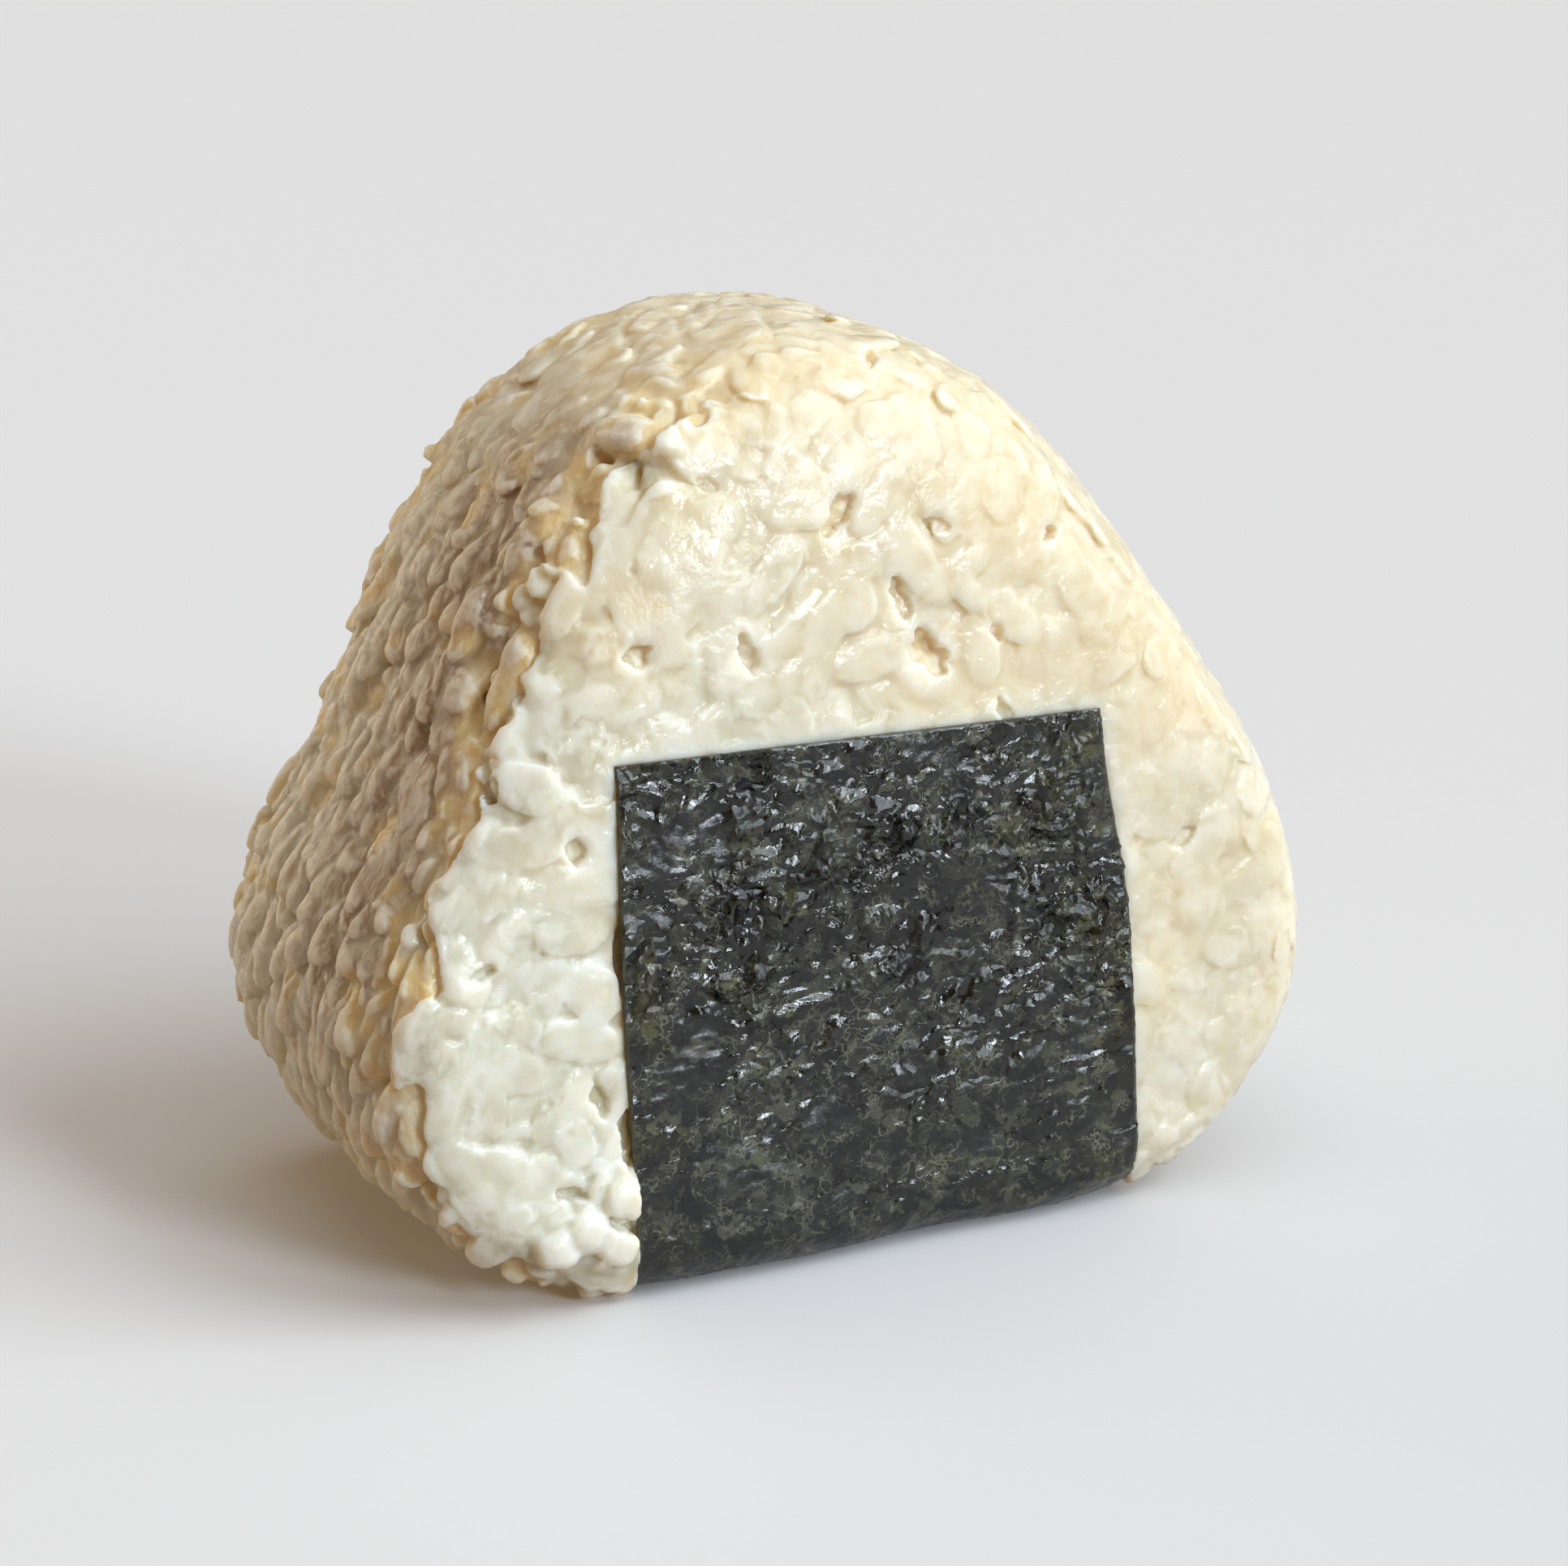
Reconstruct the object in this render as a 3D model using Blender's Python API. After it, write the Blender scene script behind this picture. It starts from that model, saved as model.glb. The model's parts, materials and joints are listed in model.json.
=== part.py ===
"""A pressed triangle of rice that stands on its base, with one strip of nori folded under it.

Metres, +Z up. The origin is on the floor, on the flat underside of the nori. The front faces -Y.
"""

import math
import random

import bmesh
import bpy
from mathutils import Matrix, Vector

MM = 0.001

# Triangle of rice, seen from the front: three circles with straight tangents between them.
WIDTH = 88.0 * MM
HEIGHT = 74.8 * MM
LEFT_RADIUS = 23.6 * MM
RIGHT_RADIUS = 26.7 * MM
TOP_RADIUS = 29.0 * MM
TOP_OFFSET = -0.5 * MM
SIDE_HOLLOW = 2.2 * MM
CORNER_STEPS = 40

# Depth from front to back: thinner towards the top, and leaning back a little.
BASE_DEPTH = 44.7 * MM
TAPER = 0.037
LEAN = 0.082
EDGE_INSET_BASE = 7.0 * MM
EDGE_INSET_TOP = 26.0 * MM
EDGE_POWER = 3.26
BASE_SINK = 0.6 * MM
FACE_MIDDLE = 0.42 * HEIGHT

# The core is bare under the nori, and holds the grains everywhere else.
CORE_DEPTH = 1.25 * MM
CORE_COLUMNS = 44
CORE_FACE_RINGS = 2
CORE_ANGLES = (-90, -70, -48, -24, 0, 24, 48, 70, 90)

# Grains of cooked short-grain rice.
GRAIN_COUNT = 340
GRAIN_LENGTH = 7.0 * MM
GRAIN_WIDTH = 3.6 * MM
GRAIN_THICKNESS = 2.9 * MM
GRAIN_SPREAD = 0.10
GRAIN_SIDES = 6
GRAIN_RING_AT = 0.30
GRAIN_TIP = 0.12
GRAIN_SPACING = 4.5 * MM
GRAIN_TRIES = 60000
GRAIN_TURNS = 6
FLOOR_CLEARANCE = 0.05 * MM
RICE_TRIANGLES = 11900

# Nori strip, from its front edge down, under the base and up the back.
NORI_THICKNESS = 0.5 * MM
NORI_CLEARANCE = 0.6 * MM
NORI_FRONT_LEFT_TOP = 44.3 * MM
NORI_FRONT_RIGHT_TOP = 43.4 * MM
NORI_BACK_TOP = 41.0 * MM
NORI_LEFT = -23.2 * MM
NORI_RIGHT = 22.9 * MM
NORI_LEFT_NARROWING = 0.7 * MM
NORI_RIGHT_NARROWING = 2.0 * MM
NORI_NARROWS_FROM = 25 * MM
NORI_NARROWS_OVER = 20 * MM
NORI_COLUMNS = 11
NORI_ROW_HEIGHT = 3.3 * MM
NORI_RIPPLE = 0.22 * MM
GROUNDED = 0.02 * MM
FOLD_ANGLES = (-90, -80, -69, -57, -44, -29, 0, 29, 44, 57, 69, 80, 90)

RICE_COLOUR = (0.86, 0.81, 0.68, 1.0)
RICE_ROUGHNESS = 0.4
NORI_COLOUR = (0.020, 0.024, 0.017, 1.0)
NORI_ROUGHNESS = 0.35
SEED = 26


def smooth_step(value):
    value = min(max(value, 0.0), 1.0)
    return value * value * (3 - 2 * value)


# Outline of the triangle

CORNERS = (
    (Vector((-WIDTH / 2 + LEFT_RADIUS, LEFT_RADIUS)), LEFT_RADIUS),
    (Vector((WIDTH / 2 - RIGHT_RADIUS, RIGHT_RADIUS)), RIGHT_RADIUS),
    (Vector((TOP_OFFSET, HEIGHT - TOP_RADIUS)), TOP_RADIUS),
)


def hollow(point, normal):
    """Draws the outline in a little halfway up its two sloping sides."""
    low, high = LEFT_RADIUS / 2, HEIGHT - TOP_RADIUS / 2
    share = min(max((point.y - low) / (high - low), 0.0), 1.0)
    if abs(normal.y) > 0.9:
        return point
    return point - normal * SIDE_HOLLOW * math.sin(math.pi * share) ** 2


def tangent_normal(first, second):
    """The outward normal of the straight side from the first corner to the second."""
    (start, start_radius), (end, end_radius) = first, second
    along = end - start
    tilt = math.asin((start_radius - end_radius) / along.length)
    outward = Vector((along.y, -along.x)).normalized()
    return math.atan2(outward.y, outward.x) + tilt


def outline(columns):
    """Evenly spaced (point, outward normal) pairs round the triangle, counter-clockwise."""
    dense = []
    count = len(CORNERS)
    for index, (centre, radius) in enumerate(CORNERS):
        arriving = tangent_normal(CORNERS[index - 1], CORNERS[index])
        leaving = tangent_normal(CORNERS[index], CORNERS[(index + 1) % count])
        turn = (leaving - arriving) % (2 * math.pi)
        for step in range(CORNER_STEPS + 1):
            angle = arriving + turn * step / CORNER_STEPS
            normal = Vector((math.cos(angle), math.sin(angle)))
            dense.append((centre + normal * radius, normal))
    lengths = [0.0]
    for here, after in zip(dense, dense[1:] + dense[:1]):
        lengths.append(lengths[-1] + (after[0] - here[0]).length)
    dense.append(dense[0])
    found, segment = [], 0
    for column in range(columns):
        wanted = lengths[-1] * column / columns
        while lengths[segment + 1] < wanted:
            segment += 1
        share = (wanted - lengths[segment]) / (lengths[segment + 1] - lengths[segment])
        here, after = dense[segment], dense[segment + 1]
        normal = here[1].lerp(after[1], share).normalized()
        found.append((hollow(here[0].lerp(after[0], share), normal), normal))
    return found


# Body of rice

def edge_inset(z):
    return EDGE_INSET_BASE + (EDGE_INSET_TOP - EDGE_INSET_BASE) * min(max(z / HEIGHT, 0), 1) ** 2


def half_depth(z):
    return BASE_DEPTH / 2 - TAPER * z


def settle(x, y, z):
    """Leans the body back and flattens the foot that it stands on."""
    return Vector((x, y + LEAN * z, max(z - BASE_SINK, 0.0)))


def rim_point(point, normal, angle):
    """A point on the rounded side wall: angle -90 is the front face's edge, and 90 the back's."""
    turned = math.radians(angle)
    inset = edge_inset(point.y) * (1 - math.cos(turned) ** (2 / EDGE_POWER))
    reach = math.copysign(abs(math.sin(turned)) ** (2 / EDGE_POWER), turned)
    inner = point - normal * inset
    return settle(inner.x, half_depth(point.y) * reach, inner.y)


def body_rings(columns, angles, face_rings):
    """Rings of points from the middle of the front face, round the side, to the back's middle."""
    around = outline(columns)
    centre = Vector((TOP_OFFSET, FACE_MIDDLE))
    rings = [[rim_point(point, normal, angle) for point, normal in around] for angle in angles]
    for side in (-1, 1):
        for step in range(1, face_rings):
            share = 1 - step / face_rings
            ring = []
            for point, normal in around:
                inner = point - normal * edge_inset(point.y)
                inner = centre.lerp(inner, share)
                ring.append(settle(inner.x, side * half_depth(inner.y), inner.y))
            if side < 0:
                rings.insert(0, ring)
            else:
                rings.append(ring)
    front = settle(centre.x, -half_depth(centre.y), centre.y)
    back = settle(centre.x, half_depth(centre.y), centre.y)
    return rings, front, back


def loft(name, rings, first, last):
    """A closed mesh through rings of points, with a pole at each end, its faces pointing out."""
    mesh = bmesh.new()
    columns = len(rings[0])
    loops = [[mesh.verts.new(point) for point in ring] for ring in rings]
    poles = mesh.verts.new(first), mesh.verts.new(last)
    for lower, upper in zip(loops, loops[1:]):
        for column in range(columns):
            after = (column + 1) % columns
            mesh.faces.new((lower[column], lower[after], upper[after], upper[column]))
    for column in range(columns):
        after = (column + 1) % columns
        mesh.faces.new((poles[0], loops[0][after], loops[0][column]))
        mesh.faces.new((poles[1], loops[-1][column], loops[-1][after]))
    bmesh.ops.triangulate(mesh, faces=mesh.faces)
    bmesh.ops.recalc_face_normals(mesh, faces=mesh.faces)
    return new_object(name, mesh)


def new_object(name, mesh):
    data = bpy.data.meshes.new(name)
    mesh.to_mesh(data)
    mesh.free()
    made = bpy.data.objects.new(name, data)
    bpy.context.scene.collection.objects.link(made)
    return made


def sink(point, normal, depth):
    """A point moved into the body, but never below the level that this leaves under the foot."""
    moved = point - normal * depth
    moved.z = max(moved.z, depth)
    return moved


def rice_core():
    rings, front, back = body_rings(CORE_COLUMNS, CORE_ANGLES, CORE_FACE_RINGS)
    core = loft("rice", rings, front, back)
    core.data.update()
    normals = [vertex.normal.copy() for vertex in core.data.vertices]
    for vertex, normal in zip(core.data.vertices, normals):
        vertex.co = sink(vertex.co, normal, CORE_DEPTH)
    return core


# Nori

def nori_edges(z):
    """The strip's left and right edges: it narrows a little towards its ends."""
    share = smooth_step((z - NORI_NARROWS_FROM) / NORI_NARROWS_OVER)
    return NORI_LEFT + NORI_LEFT_NARROWING * share, NORI_RIGHT - NORI_RIGHT_NARROWING * share


def bottom_of_outline(x):
    """The outline's lowest point above x, and the outward normal there."""
    centre, radius = CORNERS[0] if x < 0 else CORNERS[1]
    beyond = min(x - centre.x, 0.0) if x < 0 else max(x - centre.x, 0.0)
    rise = radius - math.sqrt(radius * radius - beyond * beyond)
    normal = Vector((beyond, -math.sqrt(radius * radius - beyond * beyond))).normalized()
    return Vector((x, rise)), normal


def strip_point(across, angle=None, height=None, side=-1):
    """A point of the strip: across runs 0 to 1, left to right.

    An angle places it on the fold under the base, as on the side wall. Otherwise it is on the
    front (side -1) or back (side 1) face, at that height.
    """
    if angle is None:
        left, right = nori_edges(height)
        x = left + (right - left) * across
        return settle(x, side * half_depth(height), height)
    left, right = nori_edges(0)
    x = left + (right - left) * across
    point, normal = bottom_of_outline(x)
    return rim_point(point, normal, angle)


def face_rows(top):
    """Heights of the rows on one face, evenly spaced from the fold to the strip's end."""
    count = round((top - EDGE_INSET_BASE) / NORI_ROW_HEIGHT)
    return [EDGE_INSET_BASE + (top - EDGE_INSET_BASE) * step / count for step in range(1, count + 1)]


def nori_grid():
    """Rows of points on the outside of the strip, from its front end to its back end."""
    shares = [column / NORI_COLUMNS for column in range(NORI_COLUMNS + 1)]
    rows = []
    for height in reversed(face_rows(NORI_FRONT_LEFT_TOP)):
        row = []
        for share in shares:
            drop = (NORI_FRONT_LEFT_TOP - NORI_FRONT_RIGHT_TOP) * share
            row.append(strip_point(share, height=height - drop * height / NORI_FRONT_LEFT_TOP))
        rows.append(row)
    for angle in FOLD_ANGLES:
        rows.append([strip_point(share, angle=angle) for share in shares])
    for height in face_rows(NORI_BACK_TOP):
        rows.append([strip_point(share, height=height, side=1) for share in shares])
    return rows


def grid_normals(rows):
    """The outward normal at each point of a grid whose rows run from front to back."""
    found = []
    for row in range(len(rows)):
        before, after = rows[max(row - 1, 0)], rows[min(row + 1, len(rows) - 1)]
        line = []
        for column in range(len(rows[row])):
            left, right = max(column - 1, 0), min(column + 1, len(rows[row]) - 1)
            across = rows[row][right] - rows[row][left]
            along = after[column] - before[column]
            line.append(along.cross(across).normalized())
        found.append(line)
    return found


def join_lines(mesh, first, second):
    """A band of triangles between two lines of corners, every square split the same way."""
    for a, b, c, d in zip(first, first[1:], second[1:], second):
        mesh.faces.new((a, b, c))
        mesh.faces.new((a, c, d))


def nori_strip(chance):
    """A thin wavy strip that follows the rice, with both faces split into triangles alike."""
    outer = nori_grid()
    normals = grid_normals(outer)
    inner = []
    for points, directions in zip(outer, normals):
        rests = all(point.z < GROUNDED for point in points[1:-1])
        line = []
        for point, normal in zip(points, directions):
            if not rests:
                point += normal * NORI_RIPPLE * chance.uniform(-1, 0.3)
            point.z = max(point.z, 0.0)
            line.append(point - normal * NORI_THICKNESS)
        inner.append(line)
    mesh = bmesh.new()
    sheets = [[[mesh.verts.new(point) for point in line] for line in rows] for rows in (outer, inner)]
    for sheet in sheets:
        for here, after in zip(sheet, sheet[1:]):
            join_lines(mesh, here, after)
    top, bottom = sheets
    for row in (0, -1):
        join_lines(mesh, top[row], bottom[row])
    for column in (0, -1):
        join_lines(mesh, [line[column] for line in top], [line[column] for line in bottom])
    bmesh.ops.recalc_face_normals(mesh, faces=mesh.faces)
    return new_object("nori", mesh)


# Grains

def near_nori(point):
    """Whether a point is so near the strip that a grain there would touch it."""
    left, right = nori_edges(point.z)
    if not left - NORI_CLEARANCE < point.x < right + NORI_CLEARANCE:
        return False
    top = NORI_FRONT_LEFT_TOP if point.y < 0 else NORI_BACK_TOP
    return point.z < top + NORI_CLEARANCE


def touches_nori(points):
    """Whether a grain's tips, rings or the long edges between its rings come near the strip."""
    rings = points[1:GRAIN_SIDES + 1], points[GRAIN_SIDES + 1:-1]
    along = [a.lerp(b, share) for a, b in zip(*rings) for share in (0.25, 0.5, 0.75)]
    return any(near_nori(point) for point in points + along)


def grain_points(length, width, thickness):
    """The corners of one low-sided grain that lies along X: a tip, two rings and a tip."""
    points = [Vector((-length / 2, 0, 0))]
    for side, offset in ((-1, 0.0), (1, 0.5)):
        for corner in range(GRAIN_SIDES):
            angle = 2 * math.pi * (corner + offset) / GRAIN_SIDES
            across = width / 2 * math.cos(angle)
            points.append(Vector((side * length * GRAIN_RING_AT, across, thickness / 2 * math.sin(angle))))
    points.append(Vector((length / 2, 0, 0)))
    return points


def grain_sizes(chance):
    """Length, width and thickness of each grain, the largest first."""
    sizes = []
    for _ in range(GRAIN_COUNT):
        scale = [chance.uniform(1 - GRAIN_SPREAD, 1 + GRAIN_SPREAD) for _ in range(3)]
        sizes.append((GRAIN_LENGTH * scale[0], GRAIN_WIDTH * scale[1], GRAIN_THICKNESS * scale[2]))
    return sorted(sizes, reverse=True)


def fit_grain(size, centre, normal, chance):
    """A grain at this place, turned until it clears the nori and the floor, or nothing."""
    upright = normal.to_track_quat("Z", "Y").to_matrix().to_4x4()
    for _ in range(GRAIN_TURNS):
        turn = Matrix.Rotation(chance.uniform(0, math.pi), 4, "Z")
        tip = Matrix.Rotation(chance.uniform(-GRAIN_TIP, GRAIN_TIP), 4, "Y")
        place = Matrix.Translation(centre) @ upright @ turn @ tip
        points = [place @ point for point in grain_points(*size)]
        if min(point.z for point in points) < FLOOR_CLEARANCE:
            continue
        if not touches_nori(points):
            return points
    return None


def place_grains(core, chance):
    """Corner lists of grains that lie half sunk in the core, spread evenly and clear of the nori."""
    core.data.calc_loop_triangles()
    triangles = core.data.loop_triangles
    corners = [[core.data.vertices[i].co for i in triangle.vertices] for triangle in triangles]
    normals = [triangle.normal.copy() for triangle in triangles]
    areas = [triangle.area for triangle in triangles]
    sizes = grain_sizes(chance)
    centres, grains = [], []
    for pick in chance.choices(range(len(corners)), weights=areas, k=GRAIN_TRIES):
        if len(grains) == len(sizes):
            break
        along, over = sorted((chance.random(), chance.random()))
        first, second, third = corners[pick]
        centre = first * along + second * (over - along) + third * (1 - over)
        if any((centre - other).length < GRAIN_SPACING for other in centres):
            continue
        points = fit_grain(sizes[len(grains)], centre, normals[pick], chance)
        if points:
            centres.append(centre)
            grains.append(points)
    return grains


def grain_object(index, points, collection):
    """One grain as a closed mesh: a fan of triangles at each tip and a band between the rings."""
    mesh = bmesh.new()
    corners = [mesh.verts.new(point) for point in points]
    first, last = corners[0], corners[-1]
    rings = corners[1:GRAIN_SIDES + 1], corners[GRAIN_SIDES + 1:-1]
    for corner in range(GRAIN_SIDES):
        after = (corner + 1) % GRAIN_SIDES
        mesh.faces.new((first, rings[0][corner], rings[0][after]))
        mesh.faces.new((last, rings[1][after], rings[1][corner]))
        mesh.faces.new((rings[0][corner], rings[1][corner], rings[0][after]))
        mesh.faces.new((rings[0][after], rings[1][corner], rings[1][after]))
    bmesh.ops.recalc_face_normals(mesh, faces=mesh.faces)
    data = bpy.data.meshes.new(f"grain_{index}")
    mesh.to_mesh(data)
    mesh.free()
    collection.objects.link(bpy.data.objects.new(f"grain_{index}", data))


def keep_outer_skin(data):
    """Fills what the joining sealed and drops loose scraps: only the largest shell stays."""
    mesh = bmesh.new()
    mesh.from_mesh(data)
    unseen, shells = set(mesh.verts), []
    while unseen:
        shell, front = set(), [unseen.pop()]
        while front:
            vertex = front.pop()
            shell.add(vertex)
            for edge in vertex.link_edges:
                other = edge.other_vert(vertex)
                if other in unseen:
                    unseen.remove(other)
                    front.append(other)
        shells.append(shell)
    shells.sort(key=len)
    for shell in shells[:-1]:
        bmesh.ops.delete(mesh, geom=list(shell), context="VERTS")
    mesh.to_mesh(data)
    mesh.free()


def bake(made):
    """Applies the object's modifiers to its mesh."""
    bpy.context.view_layer.update()
    graph = bpy.context.evaluated_depsgraph_get()
    data = bpy.data.meshes.new_from_object(made.evaluated_get(graph))
    made.modifiers.clear()
    made.data = data


def fuse_grains(core, chance):
    collection = bpy.data.collections.new("grains")
    bpy.context.scene.collection.children.link(collection)
    for index, points in enumerate(place_grains(core, chance)):
        grain_object(index, points, collection)
    union = core.modifiers.new("grains", "BOOLEAN")
    union.operation = "UNION"
    union.operand_type = "COLLECTION"
    union.collection = collection
    union.solver = "EXACT"
    bake(core)
    for grain in list(collection.objects):
        bpy.data.objects.remove(grain)
    bpy.data.collections.remove(collection)
    keep_outer_skin(core.data)


def thin_out(made, wanted):
    """Merges the shortest edges along the seams until few enough triangles are left."""
    triangles = sum(len(face.vertices) - 2 for face in made.data.polygons)
    if triangles > wanted:
        thinner = made.modifiers.new("thinner", "DECIMATE")
        thinner.ratio = wanted / triangles
        thinner.use_collapse_triangulate = True
        bake(made)


def finish(made, name, colour, roughness):
    material = bpy.data.materials.new(name)
    material.use_nodes = True
    shader = material.node_tree.nodes["Principled BSDF"]
    shader.inputs["Base Color"].default_value = colour
    shader.inputs["Roughness"].default_value = roughness
    made.data.materials.clear()
    made.data.materials.append(material)


def main():
    for old in list(bpy.data.objects):
        bpy.data.objects.remove(old)
    chance = random.Random(SEED)
    core = rice_core()
    nori = nori_strip(chance)
    fuse_grains(core, chance)
    thin_out(core, RICE_TRIANGLES)
    finish(core, "rice", RICE_COLOUR, RICE_ROUGHNESS)
    finish(nori, "nori", NORI_COLOUR, NORI_ROUGHNESS)


main()
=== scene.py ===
import json
import math
import random

import bmesh
import bpy
import numpy as np
from mathutils import Matrix, Vector, noise
from mathutils.bvhtree import BVHTree
from mathutils.interpolate import poly_3d_calc
from mathutils.kdtree import KDTree

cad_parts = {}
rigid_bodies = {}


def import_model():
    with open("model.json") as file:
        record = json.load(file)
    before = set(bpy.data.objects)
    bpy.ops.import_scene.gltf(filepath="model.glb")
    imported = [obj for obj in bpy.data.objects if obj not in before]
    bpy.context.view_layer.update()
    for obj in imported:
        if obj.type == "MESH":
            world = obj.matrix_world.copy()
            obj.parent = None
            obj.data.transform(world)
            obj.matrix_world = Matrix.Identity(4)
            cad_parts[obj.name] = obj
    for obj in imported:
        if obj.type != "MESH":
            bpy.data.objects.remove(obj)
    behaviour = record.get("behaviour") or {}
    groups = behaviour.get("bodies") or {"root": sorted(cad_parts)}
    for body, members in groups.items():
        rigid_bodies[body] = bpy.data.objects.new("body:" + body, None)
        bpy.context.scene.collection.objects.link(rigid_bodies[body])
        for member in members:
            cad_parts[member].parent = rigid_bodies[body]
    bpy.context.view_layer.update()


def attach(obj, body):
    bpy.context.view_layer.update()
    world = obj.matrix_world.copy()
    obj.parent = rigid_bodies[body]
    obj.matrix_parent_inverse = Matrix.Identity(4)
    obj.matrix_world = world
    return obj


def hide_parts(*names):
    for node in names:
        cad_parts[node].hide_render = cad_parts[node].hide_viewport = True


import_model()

mm = 0.001


# Camera: its place, lens and frame were fitted to the outline of the rice and the nori's corners

shot = {
    "eye": (-130.85 * mm, -271.66 * mm, 128.14 * mm),
    "forward": (0.41527, 0.85998, -0.29662),
    "up": (0.13402, 0.26467, 0.95498),
    "lens": 85.58,
    "sensor": 36.0,
    "frameWidth": 1932,
    "frameHeight": 1930,
}


def shotAxes():
    forward = Vector(shot["forward"]).normalized()
    right = forward.cross(Vector(shot["up"])).normalized()
    return right, right.cross(forward), forward


def addCamera():
    right, up, forward = shotAxes()
    lensData = bpy.data.cameras.new("camera")
    lensData.lens = shot["lens"]
    lensData.sensor_width = shot["sensor"]
    lensData.sensor_fit = "HORIZONTAL"
    lensData.clip_start = 0.01
    camera = bpy.data.objects.new("camera", lensData)
    turn = Matrix((right, up, -forward)).transposed().to_4x4()
    camera.matrix_world = Matrix.Translation(shot["eye"]) @ turn
    bpy.context.scene.collection.objects.link(camera)
    bpy.context.scene.camera = camera


def photoRay(px, py):  # the view ray through a pixel of the 1932 x 1930 frame
    right, up, forward = shotAxes()
    focal = shot["lens"] / shot["sensor"] * shot["frameWidth"]
    across = (px - shot["frameWidth"] / 2) / focal
    down = (py - shot["frameHeight"] / 2) / focal
    return Vector(shot["eye"]), (forward + right * across - up * down).normalized()


# Body: the rounded triangle of the solid, as a smooth guide that every piece follows

body = {
    "width": 88.0 * mm,
    "height": 74.8 * mm,
    "leftRadius": 23.6 * mm,
    "rightRadius": 26.7 * mm,
    "topRadius": 29.0 * mm,
    "topOffset": -0.5 * mm,
    "sideHollow": 2.2 * mm,
    "baseDepth": 44.7 * mm,
    "taper": 0.037,
    "lean": 0.082,
    "insetBase": 7.0 * mm,
    "insetTop": 26.0 * mm,
    "edgePower": 4.2,
    "sink": 0.6 * mm,
    "columns": 220,
    "wallRings": 56,
    "faceRings": 24,
}


def smoothStep(value, low=0.0, high=1.0):
    t = np.clip((value - low) / (high - low), 0.0, 1.0)
    return t * t * (3 - 2 * t)


def bodyOutline(columns):  # evenly spaced points and outward normals round the triangle, in x and z
    b = body
    corners = [
        (Vector((-b["width"] / 2 + b["leftRadius"], b["leftRadius"])), b["leftRadius"]),
        (Vector((b["width"] / 2 - b["rightRadius"], b["rightRadius"])), b["rightRadius"]),
        (Vector((b["topOffset"], b["height"] - b["topRadius"])), b["topRadius"]),
    ]

    def sideAngle(first, second):
        along = second[0] - first[0]
        return math.atan2(-along.x, along.y) + math.asin((first[1] - second[1]) / along.length)

    dense = []
    for index, corner in enumerate(corners):
        arriving = sideAngle(corners[index - 1], corner)
        turn = (sideAngle(corner, corners[(index + 1) % 3]) - arriving) % (2 * math.pi)
        for step in np.linspace(0, 1, 61):
            angle = arriving + turn * step
            nx, nz = math.cos(angle), math.sin(angle)
            dense.append((corner[0].x + corner[1] * nx, corner[0].y + corner[1] * nz, nx, nz))
    dense = np.array(dense + dense[:1])
    lengths = np.concatenate([[0], np.cumsum(np.hypot(*np.diff(dense[:, :2], axis=0).T))])
    wanted = np.linspace(0, lengths[-1], columns, endpoint=False)
    x, z, nx, nz = [np.interp(wanted, lengths, dense[:, axis]) for axis in range(4)]
    scale = np.hypot(nx, nz)
    nx, nz = nx / scale, nz / scale
    low, high = b["leftRadius"] / 2, b["height"] - b["topRadius"] / 2
    share = np.clip((z - low) / (high - low), 0, 1)
    hollow = b["sideHollow"] * np.sin(math.pi * share) ** 2 * (np.abs(nz) < 0.9)
    return x - nx * hollow, z - nz * hollow, nx, nz


def settle(x, y, z):
    return np.stack([x, y + body["lean"] * z, np.maximum(z - body["sink"], 0.0)], axis=-1)


def halfDepth(z):
    return body["baseDepth"] / 2 - body["taper"] * z


def edgeInset(z):
    return body["insetBase"] + (body["insetTop"] - body["insetBase"]) * np.clip(z / body["height"], 0, 1) ** 2


def wallAngles(count):  # angles that space the rings evenly over a typical rounded side
    power = 2 / body["edgePower"]
    angles = np.linspace(-math.pi / 2, math.pi / 2, 2001)
    inset = 10 * mm * (1 - np.cos(angles) ** power)
    reach = 20 * mm * np.sign(angles) * np.abs(np.sin(angles)) ** power
    lengths = np.concatenate([[0], np.cumsum(np.hypot(np.diff(inset), np.diff(reach)))])
    return np.interp(np.linspace(0, lengths[-1], count), lengths, angles)


def bodyGrid():  # closed mesh of the guide: rings from the middle of the front to the middle of the back
    b = body
    x, z, nx, nz = bodyOutline(b["columns"])
    power = 2 / b["edgePower"]
    middle = np.array([b["topOffset"], 0.42 * b["height"]])
    rings = []
    faceShares = np.linspace(0, 1, b["faceRings"], endpoint=False)[1:]
    flatX, flatZ = x - nx * edgeInset(z), z - nz * edgeInset(z)
    for side, shares in ((-1, faceShares), (0, None), (1, faceShares[::-1])):
        if side == 0:
            for angle in wallAngles(b["wallRings"]):
                inset = edgeInset(z) * (1 - max(math.cos(angle), 0.0) ** power)
                reach = math.copysign(abs(math.sin(angle)) ** power, angle)
                height = z - nz * inset
                rings.append(settle(x - nx * inset, halfDepth(height) * reach, height))
            continue
        for share in shares:
            px = middle[0] + (flatX - middle[0]) * share
            pz = middle[1] + (flatZ - middle[1]) * share
            rings.append(settle(px, side * halfDepth(pz), pz))
    poles = [settle(middle[0], side * halfDepth(middle[1]), middle[1]) for side in (-1, 1)]
    points = np.concatenate(rings + [np.array(poles)])
    columns, last = b["columns"], len(rings) - 1
    faces = []
    for ring in range(last):
        for column in range(columns):
            after = (column + 1) % columns
            low, high = ring * columns, (ring + 1) * columns
            faces.append((low + column, high + column, high + after, low + after))
    front, back = len(points) - 2, len(points) - 1
    for column in range(columns):
        after = (column + 1) % columns
        faces.append((front, column, after))
        faces.append((back, last * columns + after, last * columns + column))
    return points, faces


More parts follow.
